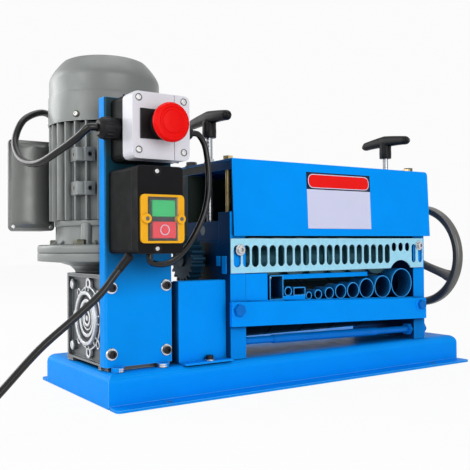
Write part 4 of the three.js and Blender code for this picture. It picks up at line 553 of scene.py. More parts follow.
def mains_points():
    side = COIL["y"] - COIL["outer"]
    end = BUSH_START + BUSH_WAY * (BUSH_LENGTH + GAP)
    first = [end, end + BUSH_WAY * 2 * CORD_RADIUS, (-298, -123.5, 124), (-326.1, -127, 102.4),
             (-362.6, -132, 75.8), (-403.3, -145, 41.6),
             (-424, -151.5, 25), (-444, -156.5, 11.5), (COIL["x"] + 15, side, FLOOR),
             (COIL["x"] + GAP, side, FLOOR)]
    coil = []
    total = 2 * COIL["turns"]
    for i in range(total * 48 + 1):
        t = i / 48
        inward = t if t < COIL["turns"] else total - t
        radius = COIL["outer"] - COIL["step"] * inward
        share = min(1, max(0, (t - COIL["turns"] + 0.25) / 0.5))
        angle = -TURN / 4 - TURN * t
        coil.append(Vector((COIL["x"] + radius * cos(angle), COIL["y"] + radius * sin(angle),
                            FLOOR + COIL["layer"] * share * share * (3 - 2 * share))))
    high = FLOOR + COIL["layer"]
    plug_end, plug_middle = PLUG["left"] + PLUG["length"], PLUG["height"] / 2
    tail = [(COIL["x"] - GAP, side, high), (COIL["x"] - 15, side, high), (-527, -158, 9.5),
            (-552, -153, 10.5), (plug_end + 7.5, PLUG["y"], plug_middle),
            (plug_end + GAP, PLUG["y"], plug_middle)]
    return catmull(first, 6), coil, catmull(tail, 6)


lead_in, coiled, lead_out = mains_points()
cord_line = [*lead_in, *coiled[1:-1], *lead_out]


def plug_shape():
    left, y = PLUG["left"], PLUG["y"]
    middle = PLUG["height"] / 2 + 0.15
    rings = []
    for along, w, h in ((0, 26, 20), (0.8, 29, 22.6), (2, 30, 23.6), (20, 30, 23.6), (24, 29, 23),
                        (30, 23, 19.5), (36, 18.5, 16), (42, 16.3, 14.5), (44, 15.6, 14)):
        corners = [squared(TURN * k / 40, w / 2, h / 2, 0.6) for k in range(40)]
        rings.append([(left + along, y + u, middle + v) for u, v in corners])
    pieces = [loft("plug_body", rings, BLACK, stands_for="plug")]
    for tag, side in (("a", -1), ("b", 1)):
        pieces.append(lathe(f"plug_pin_{tag}", "x", (left, y + side * 9.5, 12), [
            (0, -19), (1.4, -19), (2.3, -17.6), (2.35, 0.3), (0, 0.3)], BRIGHT, 24))
    return pieces


plug_pieces = plug_shape()
mains = cable("mains_lead", cord_line, CORD_RADIUS, RUBBER,
              stands_for=("mains_cord", "cord_coil", "cord_tail"))
tuple(at(*cord_line[0]))
length_of(cord_line) / 1000

# Motor and gearbox
MX, MY = centre_of("motor_rotor")[:2]      # the motor's upright axis
AY, LZ = centre_of("lower_roller")[1:]     # the lower roller's axis
CZ = centre_of("cutter_shaft")[2]          # the height of the knives' axis
MOTOR_AXIS = (MX, MY, 0)
COVER_FACE = -268.5


def make_flanges():
    lathe("flange_adapter", "z", MOTOR_AXIS, rounded([
        (20, 141.3, 0), (36, 141.3), (36.5, 144, 2), (42, 149.5, 4), (54, 153.2, 6), (80, 155.4),
        (80, 164.7), (20, 164.7, 0)], 0.8), MOTOR, 128, closed=True, stands_for="gearbox_flange")
    lathe("end_shield", "z", MOTOR_AXIS, rounded([
        (7.3, 165, 0), (80, 165, 1.2), (80, 174.6, 3.5), (59, 174.6, 2.5), (56.8, 196, 1), (60, 196, 0.8),
        (60, 202.5, 0.8), (45, 202.5, 0), (45, 174.6, 0), (7.3, 174.6, 0)], 0.8), MOTOR, 128, closed=True,
          stands_for="motor_end_shield")


def make_shield_details():
    for i in range(4):
        angle = TURN * (i + 0.5) / 4
        x, y = MX + 58 * cos(angle), MY + 58 * sin(angle)
        lathe(f"shield_lug_{i}", "z", (x, y, 0), [
            (0, 174.4), (8, 174.4), (6.6, 178), (6.4, 197.5), (5.8, 199), (0, 199)], MOTOR, 32)
        lathe(f"shield_nut_{i}", "z", (MX + 67.5 * cos(angle - 0.06), MY + 67.5 * sin(angle - 0.06), 0),
              [(0, 174.4), (7.6, 174.4), (7.6, 179), (6.6, 180.4), (0, 180.4)], OLIVE, 6, start=angle)
    for i in range(16):
        angle = TURN * (i + 0.5) / 16
        if abs((i + 0.5) % 4 - 2) < 0.1:
            continue
        c, s = cos(angle), sin(angle)
        rib = [(56, 174), (66, 174), (56.5, 181)]
        points = []
        for side in (-1.4, 1.4):
            points += [(MX + r * c - side * s, MY + r * s + side * c, z) for r, z in rib]
        faces = [(0, 1, 2), (3, 5, 4), (0, 3, 4, 1), (1, 4, 5, 2), (2, 5, 3, 0)]
        piece(f"shield_rib_{i:02d}", points, faces, MOTOR, bevel=0.5)


def make_motor_body():
    fins = 30
    side = ((57, 2.3), (57.9, 1.5), (65.7, 1.25), (66.4, 0.7))
    outline = []
    for i in range(fins):
        middle = TURN * i / fins
        outline += [(radius, middle - half / radius) for radius, half in side]
        outline += [(radius, middle + half / radius) for radius, half in side[::-1]]
    plate("motor_fins", "z", [(MX + r * cos(a), MY + r * sin(a)) for r, a in outline],
          [circle(MX, MY, 44, 64)], 202.8, 314.9, 0.3, MOTOR, stands_for="motor_body")
    for row, z0 in enumerate((268.8, 230.4)):
        side_x, side_y, front_x, front_y = MX - 55, MY - 49.3, MX - 47.7, MY - 55
        middle = z0 + 7.75
        plate(f"foot_pad_side_{row}", "x", rect(side_y, z0, side_y + 20.3, z0 + 15.5, 1.2),
              [circle(side_y + 10.2, middle, 2.1, 24)], side_x, side_x + 13, 0.5, MOTOR)
        plate(f"foot_pad_front_{row}", "y", rect(front_x, z0, front_x + 12.2, z0 + 15.5, 1.2),
              [circle(front_x + 6.4, middle, 2.6, 24)], front_y, front_y + 12, 0.5, MOTOR)
        lathe(f"foot_pad_ring_{row}", "y", (front_x + 6.4, 0, middle), [
            (2.7, front_y + 0.1), (2.9, front_y - 0.25), (4.2, front_y - 0.25), (4.3, front_y + 0.1)],
              BOX_GREY, 32)
        # A black disc a little way into each pad hole: painted shade in the hole.
        for name, axis, spot, r in (("foot", "y", (front_x + 6.4, front_y + 5, middle), 3.2),
                                    ("side", "x", (side_x + 5, side_y + 10.2, middle), 2.7)):
            lathe(f"{name}_pad_hole_shade_{row}", axis, spot, [(0, 0), (r, 0), (r, 1), (0, 1)], BLACK_STEEL, 24)


def make_cowl():
    lathe("fan_cowl", "z", MOTOR_AXIS, [
        (65.4, 315.3), (66.9, 315.3), (67, 316.2), (66.8, 348.3), (66.3, 349.6), (65.9, 350.6),
        (65.9, 367.6), (65.5, 370.4), (64.4, 373.4), (62.4, 376.9), (59.6, 381.2), (55.6, 386.2),
        (51.8, 390.6), (49.4, 392.9), (46.2, 394.3), (40, 395.3), (30, 396.2), (15, 397), (0, 397.3),
        (0, 395.7), (48, 391.5), (62.6, 373), (64.3, 367), (65.4, 315.3)], MOTOR, 128,
          stands_for="motor_fan_cowl")
    for k in range(5):
        a = radians(-141.5 + 72 * k)
        x, y = MX + 66.9 * cos(a), MY + 66.9 * sin(a)
        bolt(f"cowl_screw_{k}", (x, y, 322.5), (cos(a), sin(a), 0), 2.6, 1.6, SCREW, washer=3.9,
             washer_look=OLIVE)
    for k in range(10):
        a = TURN * k / 10
        ring = []
        for r, side in ((17, -1.6), (30, -1.7), (44, -1.8), (44, 1.8), (30, 1.7), (17, 1.6)):
            high = 397.15 - (r - 17) * 0.055 if r < 40 else 394.9
            ring.append((MX + r * cos(a) - side * sin(a), MY + r * sin(a) + side * cos(a), high))
        low = [(x, y, z - 0.9) for x, y, z in ring]
        loft(f"cowl_vent_{k}", [low, ring], BLACK, bevel=0.2)


def cover_outline():
    """The round side cover with a small lug at each of its eight screws, cut flat at the front."""
    outline = []
    screw_radius = 39.2
    for i in range(240):
        angle = TURN * i / 240
        reach = 36.0
        for k in range(8):
            lug = 6.5 if k % 2 == 0 else 5
            away = (angle - TURN * k / 8 + pi) % TURN - pi
            inside = lug * lug - (screw_radius * sin(away)) ** 2
            if inside > 0 and abs(away) < 1:
                reach = max(reach, screw_radius * cos(away) + sqrt(inside))
        outline.append((max(AY + reach * cos(angle), -64.5), LZ + reach * sin(angle)))
    return outline


def make_gearbox():
    face, middle = COVER_FACE, (COVER_FACE, AY, LZ)
    holes = [circle(AY + 39.2 * cos(TURN * k / 8), LZ + 39.2 * sin(TURN * k / 8), 3.4, 20)
             for k in range(8) if k != 4]
    plate("side_cover_base", "x", cover_outline(), holes, face - 4.2, face, 0.6, CAST_LIGHT,
          stands_for="gearbox_side_cover")
    lathe("side_cover_face", "x", middle, [(0, -4.3), (34.2, -4.3), (34.8, -4.1)], CAST_RECESS_SHADE, 96)
    for tag, inner, outer, proud in (("a", 26.6, 31.0, 8.2), ("b", 17.6, 21.9, 6.2), ("c", 12.2, 14.2, 5.2),
                                     ("d", 6.4, 9.8, 5.8), ("e", 0.0, 3.2, 5.6)):
        profile = [(outer, -4.1), (outer - 0.3, -proud), (inner + 0.4, -proud), (inner, -4.1)]
        lathe(f"side_cover_ring_{tag}", "x", middle, rounded(profile, 0.5) if inner else
              [(0, -proud), *profile[1::-1]], CAST_LIGHT, 96, closed=bool(inner))
    for k in range(24):
        a = TURN * (k + 0.5) / 24
        if k % 3 == 1:
            continue
        y0, z0 = AY + 31.2 * cos(a), LZ + 31.2 * sin(a)
        y1, z1 = AY + 35 * cos(a), LZ + 35 * sin(a)
        s, c = sin(a) * 0.8, cos(a) * 0.8
        ring = [(y0 - s, z0 + c), (y1 - s, z1 + c), (y1 + s, z1 - c), (y0 + s, z0 - c)]
        loft(f"cover_rib_{k:02d}", [[(face - proud, y, z) for y, z in ring] for proud in (5.6, 4.0)],
             CAST_LIGHT, bevel=0.25)
    for name, z in (("upper", 127.3), ("lower", 55.1)):
        bolt(f"gearbox_screw_{name}", (-273.1, 20.9, z), LEFT, 4.6, 0.9, CAST_LIGHT)
    bolt("gearbox_plug", (-268.2, -46, 62), LEFT, 3.2, 1.4, BRIGHT)


def make_terminal_box():
    x0, x1 = -338, -282
    plate("lid_rim", "y", rect(x0, 192, x1, 301, 5), [], 56, 60, 0.8, BOX_GREY,
          stands_for="terminal_box_lid")
    rings = []
    for k in range(25):
        t = k / 24.5
        half_x, half_z = 24.4 * (1 - t), 51.8 - 5 * min(1, 3 * t) ** 0.6
        loop = rect(-310 - half_x, 246.5 - half_z, -310 + half_x, 246.5 + half_z, min(6, half_x * 0.9))
        rings.append([(x, 56.2 - 8.7 * (1 - (1 - t) ** 2.2), z) for x, z in loop])
    loft("lid_bulge", rings, BOX_GREY)
    for name, z in (("upper", 296.5), ("lower", 196.5)):
        for tag, x in (("left", x0 + 5), ("right", x1 - 5)):
            bolt(f"lid_screw_{name}_{tag}", (x, 55.8, z), FRONT, 2.2, 1.2, SCREW, washer=3.0,
                 washer_look=BOX_GREY)
    lathe("lid_gland", "y", (-300, 0, 280), rounded([
        (4, 111.4, 0), (8.6, 111.4), (8.6, 105.5), (10.4, 105.5), (10.4, 101.2), (4, 101.2, 0)], 0.5),
          BLACK, 32, closed=True)
    turn = radians(-84)
    bolt("adapter_bolt", (MX + 65 * cos(turn), MY + 65 * sin(turn), 174.5), UP, 6.4, 6.5, OLIVE, washer=8,
         socket=False, sides=6, washer_look=OLIVE)


make_flanges()
make_shield_details()
make_motor_body()
make_cowl()
make_gearbox()
make_terminal_box()


# Column, emergency stop and switch
STOP_X, STOP_Z = centre_of("estop_button")[::2]
STOP_HALF = ends_of("estop_box_lid")[1][0] - STOP_X
GLAND_Y = centre_of("estop_gland_left")[1]


def make_column():
    for i, (x, z) in enumerate(((-266.7, 127.2), (-266.7, 55.4), (-200.1, 127.8), (-200.1, 54.8))):
        bolt(f"column_bolt_{i}", (x, -79.5, z), FRONT, 4.5, 3.4, BLACK_STEEL, washer=6.7, washer_height=1.4)
    for i, x in enumerate((-260.5, -206.5)):
        lathe(f"column_washer_{i}", "z", (x, -82.4, 0), [
            (0, 36.9), (7, 36.9), (7, 38.5), (6.4, 38.8), (7, 39), (7, 40.6), (6.5, 40.9), (0, 40.9)],
              BRIGHT, 32)


def make_mushroom():
    axis = (STOP_X, 0, STOP_Z)
    lathe("stop_mushroom", "y", axis, rounded([
        (0, -150, 0), (16.9, -150, 0.6), (20.2, -152.2, 1.4), (20.6, -156.2, 2.2), (18.8, -159.2, 1.6),
        (15.4, -160.3, 0.6), (14.6, -158.9, 0.5), (12.4, -159.0, 0.5), (11.6, -160.3, 0.5), (6, -160.8, 2),
        (0, -160.8, 0)], 0.8, 5), RED, 96, body="stop_head", stands_for="estop_button")
    for k in range(24):
        a = TURN * k / 24
        ring = [(STOP_X + r * cos(a + w), y, STOP_Z + r * sin(a + w))
                for r, w, y in ((19.5, -0.045, -153), (20.15, 0, -153), (19.5, 0.045, -153))]
        far = [(x, -156.4, z) for x, y, z in ring]
        loft(f"mushroom_grip_{k:02d}", [ring, far], RED, body="stop_head", bevel=0.15)
    lathe("stop_stem", "y", axis, rounded([
        (0, -149.6, 0), (9.6, -149.6), (10.9, -147), (10.9, -128, 0), (0, -128, 0)], 0.5), BLACK, 64,
          body="plunger", stands_for="estop_plunger")
    block("stop_square", (-258.3, -136.6, 283.1), (-222, -134.7, 314.4), BLACK, bevel=0.3,
          stands_for="estop_plate")
    lathe("stop_collar", "y", axis, rounded([
        (11.6, -136.7, 0), (14.8, -136.7, 0), (14.6, -139.4), (11.6, -139.4)], 0.5), BLACK, 64, closed=True)


def make_stop_box():
    for i, (x, z) in enumerate(((-259.5, 325.5), (-259.5, 271.6), (-206.7, 325.8), (-206.7, 271.6))):
        lathe(f"stop_lid_rim_{i}", "y", (x, 0, z), [
            (3.6, -134.1), (3.8, -134.6), (3.2, -134.6), (3.1, -134.1)], BLACK_STEEL, 32, closed=True)
        bolt(f"stop_lid_screw_{i}", (x, -134.2, z), FRONT, 2.9, 0.8, SCREW)
    block("stop_lid_seam", (-218.15, -134.55, 263.2), (-217.85, -134.1, 331.6), BLACK, bevel=0.05)
    block("stop_box_seam", (-266.3, -110.35, 262.95), (-199.7, -109.95, 331.9), BLACK_STEEL, bevel=0.05)


def make_glands():
    for name, radius, length, way in (("left", 12.6, 22, -1), ("right", 9.7, 23, 1)):
        z = centre_of(f"estop_gland_{name}")[2]
        wall = STOP_X + way * (STOP_HALF + GAP)
        lathe(f"gland_body_{name}", "x", (wall, GLAND_Y, z), [
            (0, 0), (radius, 0), (radius, way * 6.5), (radius - 1, way * 7.4), (0, way * 7.4)], BLACK, 6,
              stands_for=f"estop_gland_{name}", bevel=0.6)
        profile = [(0, 7), (radius - 1, 7), (radius - 0.6, 8), (radius - 0.8, length - 6),
                   (radius * 0.9, length - 4), (radius * 0.72, length - 1.2), (radius * 0.62, length),
                   (4.4, length), (3.9, length - 2), (0, length - 2)]
        profile = [(r, way * along) for r, along in profile]
        lathe(f"gland_nut_{name}", "x", (wall, GLAND_Y, z), profile, BLACK, 40)
        for k in range(18):
            a = TURN * k / 18
            y, zz = GLAND_Y + (radius - 0.8) * cos(a), z + (radius - 0.8) * sin(a)
            s, c = sin(a) * 0.7, cos(a) * 0.7
            ring = [(y - s, zz + c), (y + c * 0.9, zz + s * 0.9), (y + s, zz - c)]
            loft(f"gland_grip_{name}_{k:02d}",
                 [[(wall + way * along, p, q) for p, q in ring] for along in (8, length - 7)], BLACK)


def make_switch():
    for i, z in enumerate((248.5, 169.6)):
        lathe(f"switch_recess_{i}", "y", (-246.7, 0, z), [
            (0, -149.1), (4.4, -149.1), (4.6, -149.75), (3.6, -149.75), (3.2, -149.3), (0, -149.3)],
              GLOSS_BLACK, 32)
        bolt(f"switch_screw_{i}", (-246.7, -149.45, z), FRONT, 2.3, 0.9, SCREW)
    for i, x in enumerate((-261.0, -222.0)):
        bolt(f"ear_screw_{i}", (x, -156.2, 199.8), FRONT, 2.2, 0.6, DARK_STEEL)
    for name, front, low, high, look in (("start", -150.9, 202, 219.1, GREEN),
                                         ("stop", -152.3, 180, 197.1, RED_KEY)):
        block(f"{name}_face", (-253.0, front, low), (-226.4, -140.6, high), look, bevel=1.0,
              body=f"{name}_key", stands_for=f"{name}_button")
    lathe("stop_ring", "y", (-239.6, 0, 188.6), [
        (4.6, -152.3), (5.3, -152.3), (5.3, -152.75), (4.6, -152.75)], PALE, 48, closed=True,
          body="stop_key")


def make_bush():
    side = BUSH_WAY.orthogonal().normalized()
    other = BUSH_WAY.cross(side)
    rings = []
    for along, radius in ((1.5, 5.0), (3, 5.2), (5, 5.2), (5.6, 4.7), (8, 4.7), (8.6, 4.5), (11, 4.5),
                          (11.6, 4.3), (14, 4.3), (21.4, 4.0), (BUSH_LENGTH, 3.8)):
        middle = BUSH_START + BUSH_WAY * along
        rings.append([middle + side * u + other * v for u, v in circle(0, 0, radius)])
    loft("bush_sleeve", rings, BLACK, stands_for="mains_bush")


make_bush()
make_column()
make_mushroom()
make_stop_box()
make_glands()
make_switch()


# Head of the machine
INNER_LEFT = ends_of("left_frame_plate")[1][0] + 2 * GAP
INNER_RIGHT = ends_of("right_frame_plate")[0][0] - 2 * GAP
GUIDE_FRONT, GUIDE_BACK = (corner[1] for corner in ends_of("tube_guide"))
HOOD_BOTTOM, HOOD_TOP = (corner[2] for corner in ends_of("hood"))
SCREW_X = {side: centre_of(f"pressure_screw_{side}")[0] for side in ("left", "right")}
TUBE_WALL = 1.2
WHEEL_X = 280


def make_comb():
    holes = []
    for i in range(25):
        x = -110.6 + 13.2 * i
        if 20 <= i < 23:
            holes.append(obround(x, 168.4, 9.2, 12.2))
        else:
            holes.append(obround(x, 159.2, 10.4 if i < 20 else 8.6, 26.4))
    left, right, low, high = -119.8, 212, 139, 180.5
    notch_x, notch_z, radius = 166.5, 126, 24
    edge = asin((low - notch_z) / radius)
    turns = [pi - edge - (pi - 2 * edge) * i / 32 for i in range(33)]
    notch = [(notch_x + radius * cos(a), notch_z + radius * sin(a)) for a in turns]
    outline = [(left, low), *notch, (right, low), (right, high), (left, high)]
    plate("comb_sheet", "y", outline, holes, -92.3, -90.3, 0.35, GALVANISED, stands_for="comb_plate")
    for i, (x, z) in enumerate(((-106.7, 166.7), (203.3, 170.2))):
        bolt(f"comb_bolt_{i}", (x, -92.4, z), FRONT, 4.5, 3.0, BRIGHT, washer=6.8, washer_height=1.5)


def tray_z(x):
    return 102.9 - 0.031 * x


def square_tube(name, x0, z0, width, height):
    x1, z1 = x0 + width, z0 + height
    inside = rect(x0 + TUBE_WALL, z0 + TUBE_WALL, x1 - TUBE_WALL, z1 - TUBE_WALL, 0.6)
    plate(name, "y", rect(x0, z0, x1, z1, 1.4), [inside], GUIDE_FRONT, GUIDE_BACK, 0.3, TUBE_BLUE)


def make_tube_guide():
    front, back = GUIDE_FRONT, GUIDE_BACK
    left, right = INNER_LEFT - GAP, INNER_RIGHT + GAP
    points = []
    for y in (front, back):
        points += [(left, y, tray_z(left) - 3), (right, y, tray_z(right) - 3), (right, y, tray_z(right)),
                   (left, y, tray_z(left))]
    faces = [(0, 1, 2, 3), (4, 7, 6, 5), (0, 4, 5, 1), (1, 5, 6, 2), (2, 6, 7, 3), (3, 7, 4, 0)]
    piece("guide_tray", points, faces, BLUE, bevel=0.4, stands_for="tube_guide")
    block("guide_block", (INNER_LEFT, front, tray_z(INNER_LEFT) - 2), (-64.4, back, 138), BLUE, bevel=0.7)
    block("guide_step", (-40.1, front, tray_z(-40.1) - 2), (-4.8, back, 108.6), BLUE, bevel=0.5)
    block("guide_bar", (-40.7, front + 6, 129), (110, front + 12, 135), BLUE, bevel=0.6)
    square_tube("tall_tube", -61.1, tray_z(-61.1) - 0.4, 21, 30.4)
    square_tube("flat_tube", -23.9, 108.2, 19.1, 10.6)
    row = ((1, 10), (16.7, 12.5), (35.6, 15.5), (55.4, 19.5), (77.6, 21.7), (102.4, 27), (132.8, 31),
           (170, 41))
    rounds = [(-32.4, 108.2, 12)] + [(x, tray_z(x) - 0.4, d) for x, d in row]
    for i, (x, z, d) in enumerate(rounds):
        r = d / 2
        lathe(f"round_tube_{i}", "y", (x, 0, z + r), rounded([
            (r, front), (r, back), (r - TUBE_WALL, back), (r - TUBE_WALL, front)], 0.3), TUBE_BLUE, 64,
              closed=True)


def make_beam():
    (x0, z0), (x1, z1) = [(x, tray_z(x) - 1.2) for x in (-121.4, 213.6)]
    outline = [(x0, z0), (x0, z0 - 29.4), (x1, z1 - 29.4), (x1, z1)]
    loft("beam_bar", [[(x, y, z) for x, z in outline] for y in (-96.2, -90.6)], BLUE, bevel=0.9,
         stands_for="front_beam")
    for i, (x, z, size) in enumerate(((-112.4, 95.2, 10.2), (200.6, 86.3, 9.2))):
        bolt(f"beam_bolt_{i}", (x, -96.3, z), FRONT, size * 0.76, 4.8, TIE, washer=size, socket=False,
             sides=6, washer_look=BLUE)


def make_inner_plates():
    block("plate_lug_high", (-121, -69.5, 147.5), (-119.8, -61, 159.5), BLUE, bevel=0.3)
    block("plate_lug_low", (-121, -83, 138.3), (-119.8, -73.5, 159.6), BLUE, bevel=0.3)
    block("guide_back_left", (INNER_LEFT - GAP, 22, 160), (-55, 24, 184), SHADED_GEAR, bevel=0.3)
    # A lip at the back of the hood closes the view over the knives; its front face takes the painted shade
    # of the back wall.
    block("hood_back_lip", (INNER_LEFT, 36.4, 166), (INNER_RIGHT, 38.2, 183.4), HOOD_BLUE, bevel=0.4)
    block("outlet_strip", (INNER_LEFT, 12, 129), (INNER_RIGHT, 14, 140), OILED_AND_SHADED, bevel=0.5)


def make_outer_bolts():
    bolt("cover_bolt", (-146.7, -86.6, 38.9), UP, 4.3, 4.5, BLACK_STEEL, washer=6.4)
    left, right = SCREW_X["left"], SCREW_X["right"]
    for name, x, y, z, radius, height, washer, look, under in (
            ("bolt_back", left, 18, HOOD_TOP + 0.1, 7.4, 4.8, 8.8, BLACK_STEEL, BLACK_STEEL),
            ("nut_right", right + 2.5, -69.9, HOOD_TOP + 0.2, 7.0, 5.4, 8.4, DARK_STEEL, SCREW),
            ("bolt_back_right", right, 18, HOOD_TOP + 0.1, 6.0, 4.6, 7.4, DARK_STEEL, DARK_STEEL)):
        bolt(f"top_{name}", (x, y, z), UP, radius, height, look, socket=False, sides=6, washer=washer,
             washer_look=under)
    for i, x in enumerate((-212, 212)):
        for k, y in enumerate((-108, 108)):
            lathe(f"base_hole_rim_{i}{k}", "z", (x, y, 0), [
                (3.7, 3.05), (4.4, 3.05), (4.4, 2.9), (3.7, 2.9)], BRIGHT, 32, closed=True)


def make_label():
    lean = 4 / (HOOD_TOP - HOOD_BOTTOM)

    def face(z, proud):
        return -90.3 - lean * (HOOD_TOP - z) - proud

    def panel(name, x0, z0, x1, z1, radius, look, low, high):
        loop = rect(x0, z0, x1, z1, radius, 8)
        loft(name, [[(x, face(z, proud), z) for x, z in loop] for proud in (low, high)], look)

    panel("panel_field", -2.6, 193.2, 107.8, 244.2, 0, PALE, 0.0, 0.3)
    panel("panel_band", -3, 243.6, 108.2, 265.6, 0, LABEL_DARK, 0.0, 0.34)
    panel("panel_bar_rim", -0.6, 245.3, 106, 263.6, 9, PALE, 0.3, 0.5)
    panel("panel_bar", 0.4, 246.3, 105, 262.6, 8, LABEL_RED, 0.45, 0.62)


def make_handles():
    for name, low in (("left", 309), ("right", 302)):
        x, body = SCREW_X[name], f"screw_{name}"
        middle = low + 24.2
        rings = []
        for k in range(31):
            t = -1 + 2 * k / 30
            away = abs(t)
            end = max(0.0, 1 - max(0.0, (away - 0.86) / 0.14) ** 2) ** 0.5
            half_h = (6.1 + 2.3 * (1 - away) ** 1.3) * max(end, 0.12)
            half_w = (5.4 + 1.4 * (1 - away)) * max(end, 0.12)
            centre = middle + 1.6 - 3.4 * away ** 1.6
            corners = [squared(TURN * j / 24, half_w, half_h, 0.75) for j in range(24)]
            rings.append([(x + u, AY + 47 * t, centre + v) for u, v in corners])
        loft(f"t_bar_{name}", rings, GLOSS_BLACK, body=body, stands_for=f"t_handle_{name}", degrees=60)
        for side in (-1, 1):
            tip = ((2.3, 0), (2.4, 0.3), (3.2, 0.3), (3.4, -1.2))
            profile = [(r, AY + side * (46.6 + out)) for r, out in tip]
            lathe(f"t_tip_{name}_{'a' if side < 0 else 'b'}", "y", (x, 0, middle - 1.8), profile,
                  GLOSS_BLACK, 32, body=body)
        lathe(f"t_hub_{name}", "z", (x, AY, 0), rounded([
            (0, low, 0), (8.8, low, 0.8), (9.0, low + 8, 3), (8.8, low + 14, 3), (8.9, low + 19, 3),
            (6, low + 26, 2), (0, low + 26, 0)], 1.0), GLOSS_BLACK, 48, body=body)


def make_screw_guides():
    low = HOOD_TOP + 0.2
    for name, x in SCREW_X.items():
        lathe(f"screw_guide_{name}", "z", (x, AY, 0), rounded([
            (5.4, low, 0), (8.2, low), (8.2, low + 1.6), (6.8, low + 2.6), (6.4, low + 5.2),
            (5.4, low + 5.2, 0)], 0.4), STEEL, 6, closed=True)


def make_wheel():
    lathe("wheel_rim", "x", (WHEEL_X, AY, CZ), rounded([
        (66, -3.8, 2.4), (68, -6.8, 2.4), (75, -7, 2.8), (78, -4.2, 2.4), (78, 4.2, 2.4), (75, 7, 2.8),
        (68, 6.8, 2.4), (66, 3.8, 2.4)], 2, 4), WHEEL, 160, closed=True, body="cutter",
          stands_for="handwheel")
    lathe("wheel_hub", "x", (0, AY, CZ), rounded([
        (8.3, 236, 0), (15, 236), (15, 258), (13.5, 262), (8.3, 262, 0)], 1.2), WHEEL, 64, closed=True,
          body="cutter")
    for i in range(3):
        turn = radians(208 + 120 * i)
        rings = []
        for k in range(13):
            t = k / 12
            r = 11 + 57 * t
            middle = 249 + (WHEEL_X - 249) * t ** 1.15
            half_w = 7.6 - 1.6 * sin(pi * min(1, t * 1.1)) + (1.2 if t > 0.9 else 0)
            half_d = 5.0 - 0.9 * sin(pi * t)
            ring = []
            for j in range(20):
                along, deep = squared(TURN * j / 20, half_w, half_d, 0.6)
                ring.append((middle + deep, AY + r * cos(turn) - along * sin(turn),
                             CZ + r * sin(turn) + along * cos(turn)))
            rings.append(ring)
        loft(f"wheel_spoke_{i}", rings, WHEEL, body="cutter", degrees=50)
    bolt("wheel_nut", (262.2, AY, CZ), (1, 0, 0), 6.2, 2.8, BRIGHT, socket=False, sides=6, body="cutter")


make_comb()
make_tube_guide()
make_beam()
make_inner_plates()
make_outer_bolts()
make_label()
make_handles()
make_screw_guides()
make_wheel()


# Held cables
def held_cables():
    left_end, right_end = STOP_X - STOP_HALF - GAP - 22, STOP_X + STOP_HALF + GAP + 23
    lead, y, switch_x = 8.2 + GAP, GLAND_Y, -236
    motor = [(left_end - GAP, y, 296.8), (left_end - lead, y, 296.8), (-306, -84, 287),
             (-316.5, -60, 275.6), (-329, -22, 264.5), (-336, 14, 273), (-335.5, 38, 296),
             (-321, 52, 324), (-292, 68, 338.6),
             (-266, 95, 332), (-259, 116, 314), (-266, 134, 292), (-286, 136, 281), (-300, 112 + lead, 280),
             (-300, 112 + GAP, 280)]
    switch = [(right_end + GAP, y, 299.9), (right_end + lead, y, 299.9), (-159.2, y, 290),
              (-154.7, y, 272), (-153, y, 242), (-158, y, 213), (-169.7, -98, 189.3), (-187.7, -101, 167),
              (-207.7, -106, 154.5), (-225.7, -110, 152.5), (switch_x, -111, SWITCH_BOTTOM - lead),
              (switch_x, -111, SWITCH_BOTTOM - GAP)]
    cable("motor_link", catmull(motor, 4), 4.1, RUBBER, stands_for="motor_link_cable")
    cable("switch_link", catmull(switch, 4), 3.5, RUBBER, stands_for="switch_link_cable")


held_cables()


# Nodes carried over
def dress():
    """Each node that stays takes its material and the width of its softened edges, in millimetres."""
    looks = {
        BLUE: {"gear_cover": 0.5},
        BASE_BLUE: {"base_pan": 0.8},
        HOOD_BLUE: {"hood": 0.5, "right_frame_plate": 0.7},
        COLUMN_BLUE: {"column_bracket": 0.5},
        FRAME_BLUE: {"left_frame_plate": 0.7, "top_plate": 0.6},
        CAST: {"gearbox_housing": 1.0},
        STEEL: {"worm": 0, "motor_rotor": 0},
        BRONZE: {"worm_wheel": 0},
        THREAD_Z: {"pressure_screw_left": 0, "pressure_screw_right": 0},
        ZINC_YELLOW: {"top_bolt_left": 0.4, "top_bolt_right": 0.4},
        TIE: {"tie_rod": 0.4},
        BLACK: {"motor_fan": 0, "switch_module": 0},
        GREY_BOX: {"estop_box_lid": 1.6},
        DARK_BOX: {"estop_box_base": 1.0, "switch_box_body": 1.0, "switch_box_cover": 1.4},
        BOX_GREY: {"terminal_box": 1.4},
        OILED_AND_SHADED: {"lower_roller": 0, "cutter_shaft": 0, "pressure_roller": 0, "lower_roller_shaft": 0},
        KNIFE: {"cutter_discs": 0},
        SHADED_GEAR: {"lower_gear": 0.2, "cutter_gear": 0.2},
        NAVY_SHADE: {"bearing_block_left": 0.5, "bearing_block_right": 0.5},
        YELLOW: {"switch_frame": 0.8},
        MEMBRANE: {"switch_clear_cover": 1.0},
    }
    for look, widths in looks.items():
        for name, width in widths.items():
            obj = nodes[name]
            smooth(obj.data, 32)
            soften(obj, width, 2, 32)
            if obj.material_slots:
                for slot in obj.material_slots:
                    slot.material = look
            else:
                obj.data.materials.append(look)


dress()


# Studio
def seen_by(tree, first, *kinds):
    """One for the named kinds of ray, and nothing for the others."""
    rays = add(tree, "LightPath")
    seen = rays.outputs[first]
    for kind in kinds:
        either = add(tree, "Math")
        either.operation = "MAXIMUM"
        tree.links.new(seen, either.inputs[0])
        tree.links.new(rays.outputs[kind], either.inputs[1])
        seen = either.outputs[0]
    return seen


def blend(tree, share, usual, plain, target):
    made = add(tree, "MixShader", Fac=share)
    tree.links.new(usual, made.inputs[1])
    tree.links.new(plain, made.inputs[2])
    tree.links.new(made.outputs["Shader"], tree.nodes[target].inputs["Surface"])


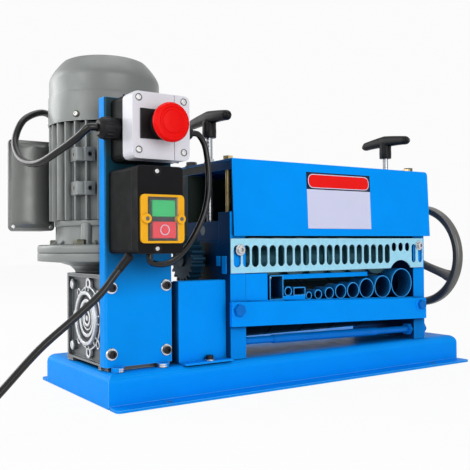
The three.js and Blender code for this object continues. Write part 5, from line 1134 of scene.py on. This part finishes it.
def make_floor():
    size, drop, glow = 6, 0.0005, 0.93
    data = bpy.data.meshes.new("floor")
    corners = ((-size, -size), (size, -size), (size, size), (-size, size))
    data.from_pydata([(x, y, -drop) for x, y in corners], [], [(0, 1, 2, 3)])
    ground = bpy.data.objects.new("floor", data)
    bpy.context.scene.collection.objects.link(ground)
    white = bpy.data.materials.new("floor white")
    white.use_nodes = True
    tree = white.node_tree
    shader = tree.nodes["Principled BSDF"]
    shader.inputs["Base Color"].default_value = (0.86, 0.86, 0.87, 1)
    shader.inputs["Roughness"].default_value = 0.9
    share = ranged(tree, seen_by(tree, "Is Camera Ray", "Is Glossy Ray"), 0, 1, 0, glow)
    blend(tree, share, shader.outputs["BSDF"], add(tree, "Emission").outputs["Emission"], "Material Output")
    data.materials.append(white)


def make_world():
    world = bpy.data.worlds.new("studio")
    bpy.context.scene.world = world
    world.use_nodes = True
    tree = world.node_tree
    back = tree.nodes["Background"]
    back.inputs["Color"].default_value = (0.95, 0.97, 1.0, 1)
    back.inputs["Strength"].default_value = 0.3
    plain = add(tree, "Background", Color=(1, 1, 1, 1), Strength=0.97)
    share = seen_by(tree, "Is Camera Ray", "Is Transmission Ray", "Is Glossy Ray")
    blend(tree, share, back.outputs["Background"], plain.outputs["Background"], "World Output")


def lamp(name, place, target, size, power):
    data = bpy.data.lights.new(name, "AREA")
    data.shape, data.size, data.energy = "SQUARE", size, power
    obj = bpy.data.objects.new(name, data)
    bpy.context.scene.collection.objects.link(obj)
    obj.location = place
    way = Vector(target) - Vector(place)
    obj.rotation_euler = way.to_track_quat("-Z", "Y").to_euler()


def make_lamps():
    lamp("key", (-1.9, -0.5, 0.9), (0, 0, 0.15), 1.2, 13)
    lamp("back_left", (-1.3, 1.5, 0.9), (-0.2, 0, 0.25), 1.2, 20)
    lamp("fill", (-0.2, -2.3, 0.6), (0.0, 0, 0.12), 1.5, 26)
    lamp("top", (0, 0.2, 1.9), (0, 0, 0.1), 1.4, 9)


make_floor()
make_world()
make_lamps()
bpy.context.scene.view_settings.view_transform = "Standard"
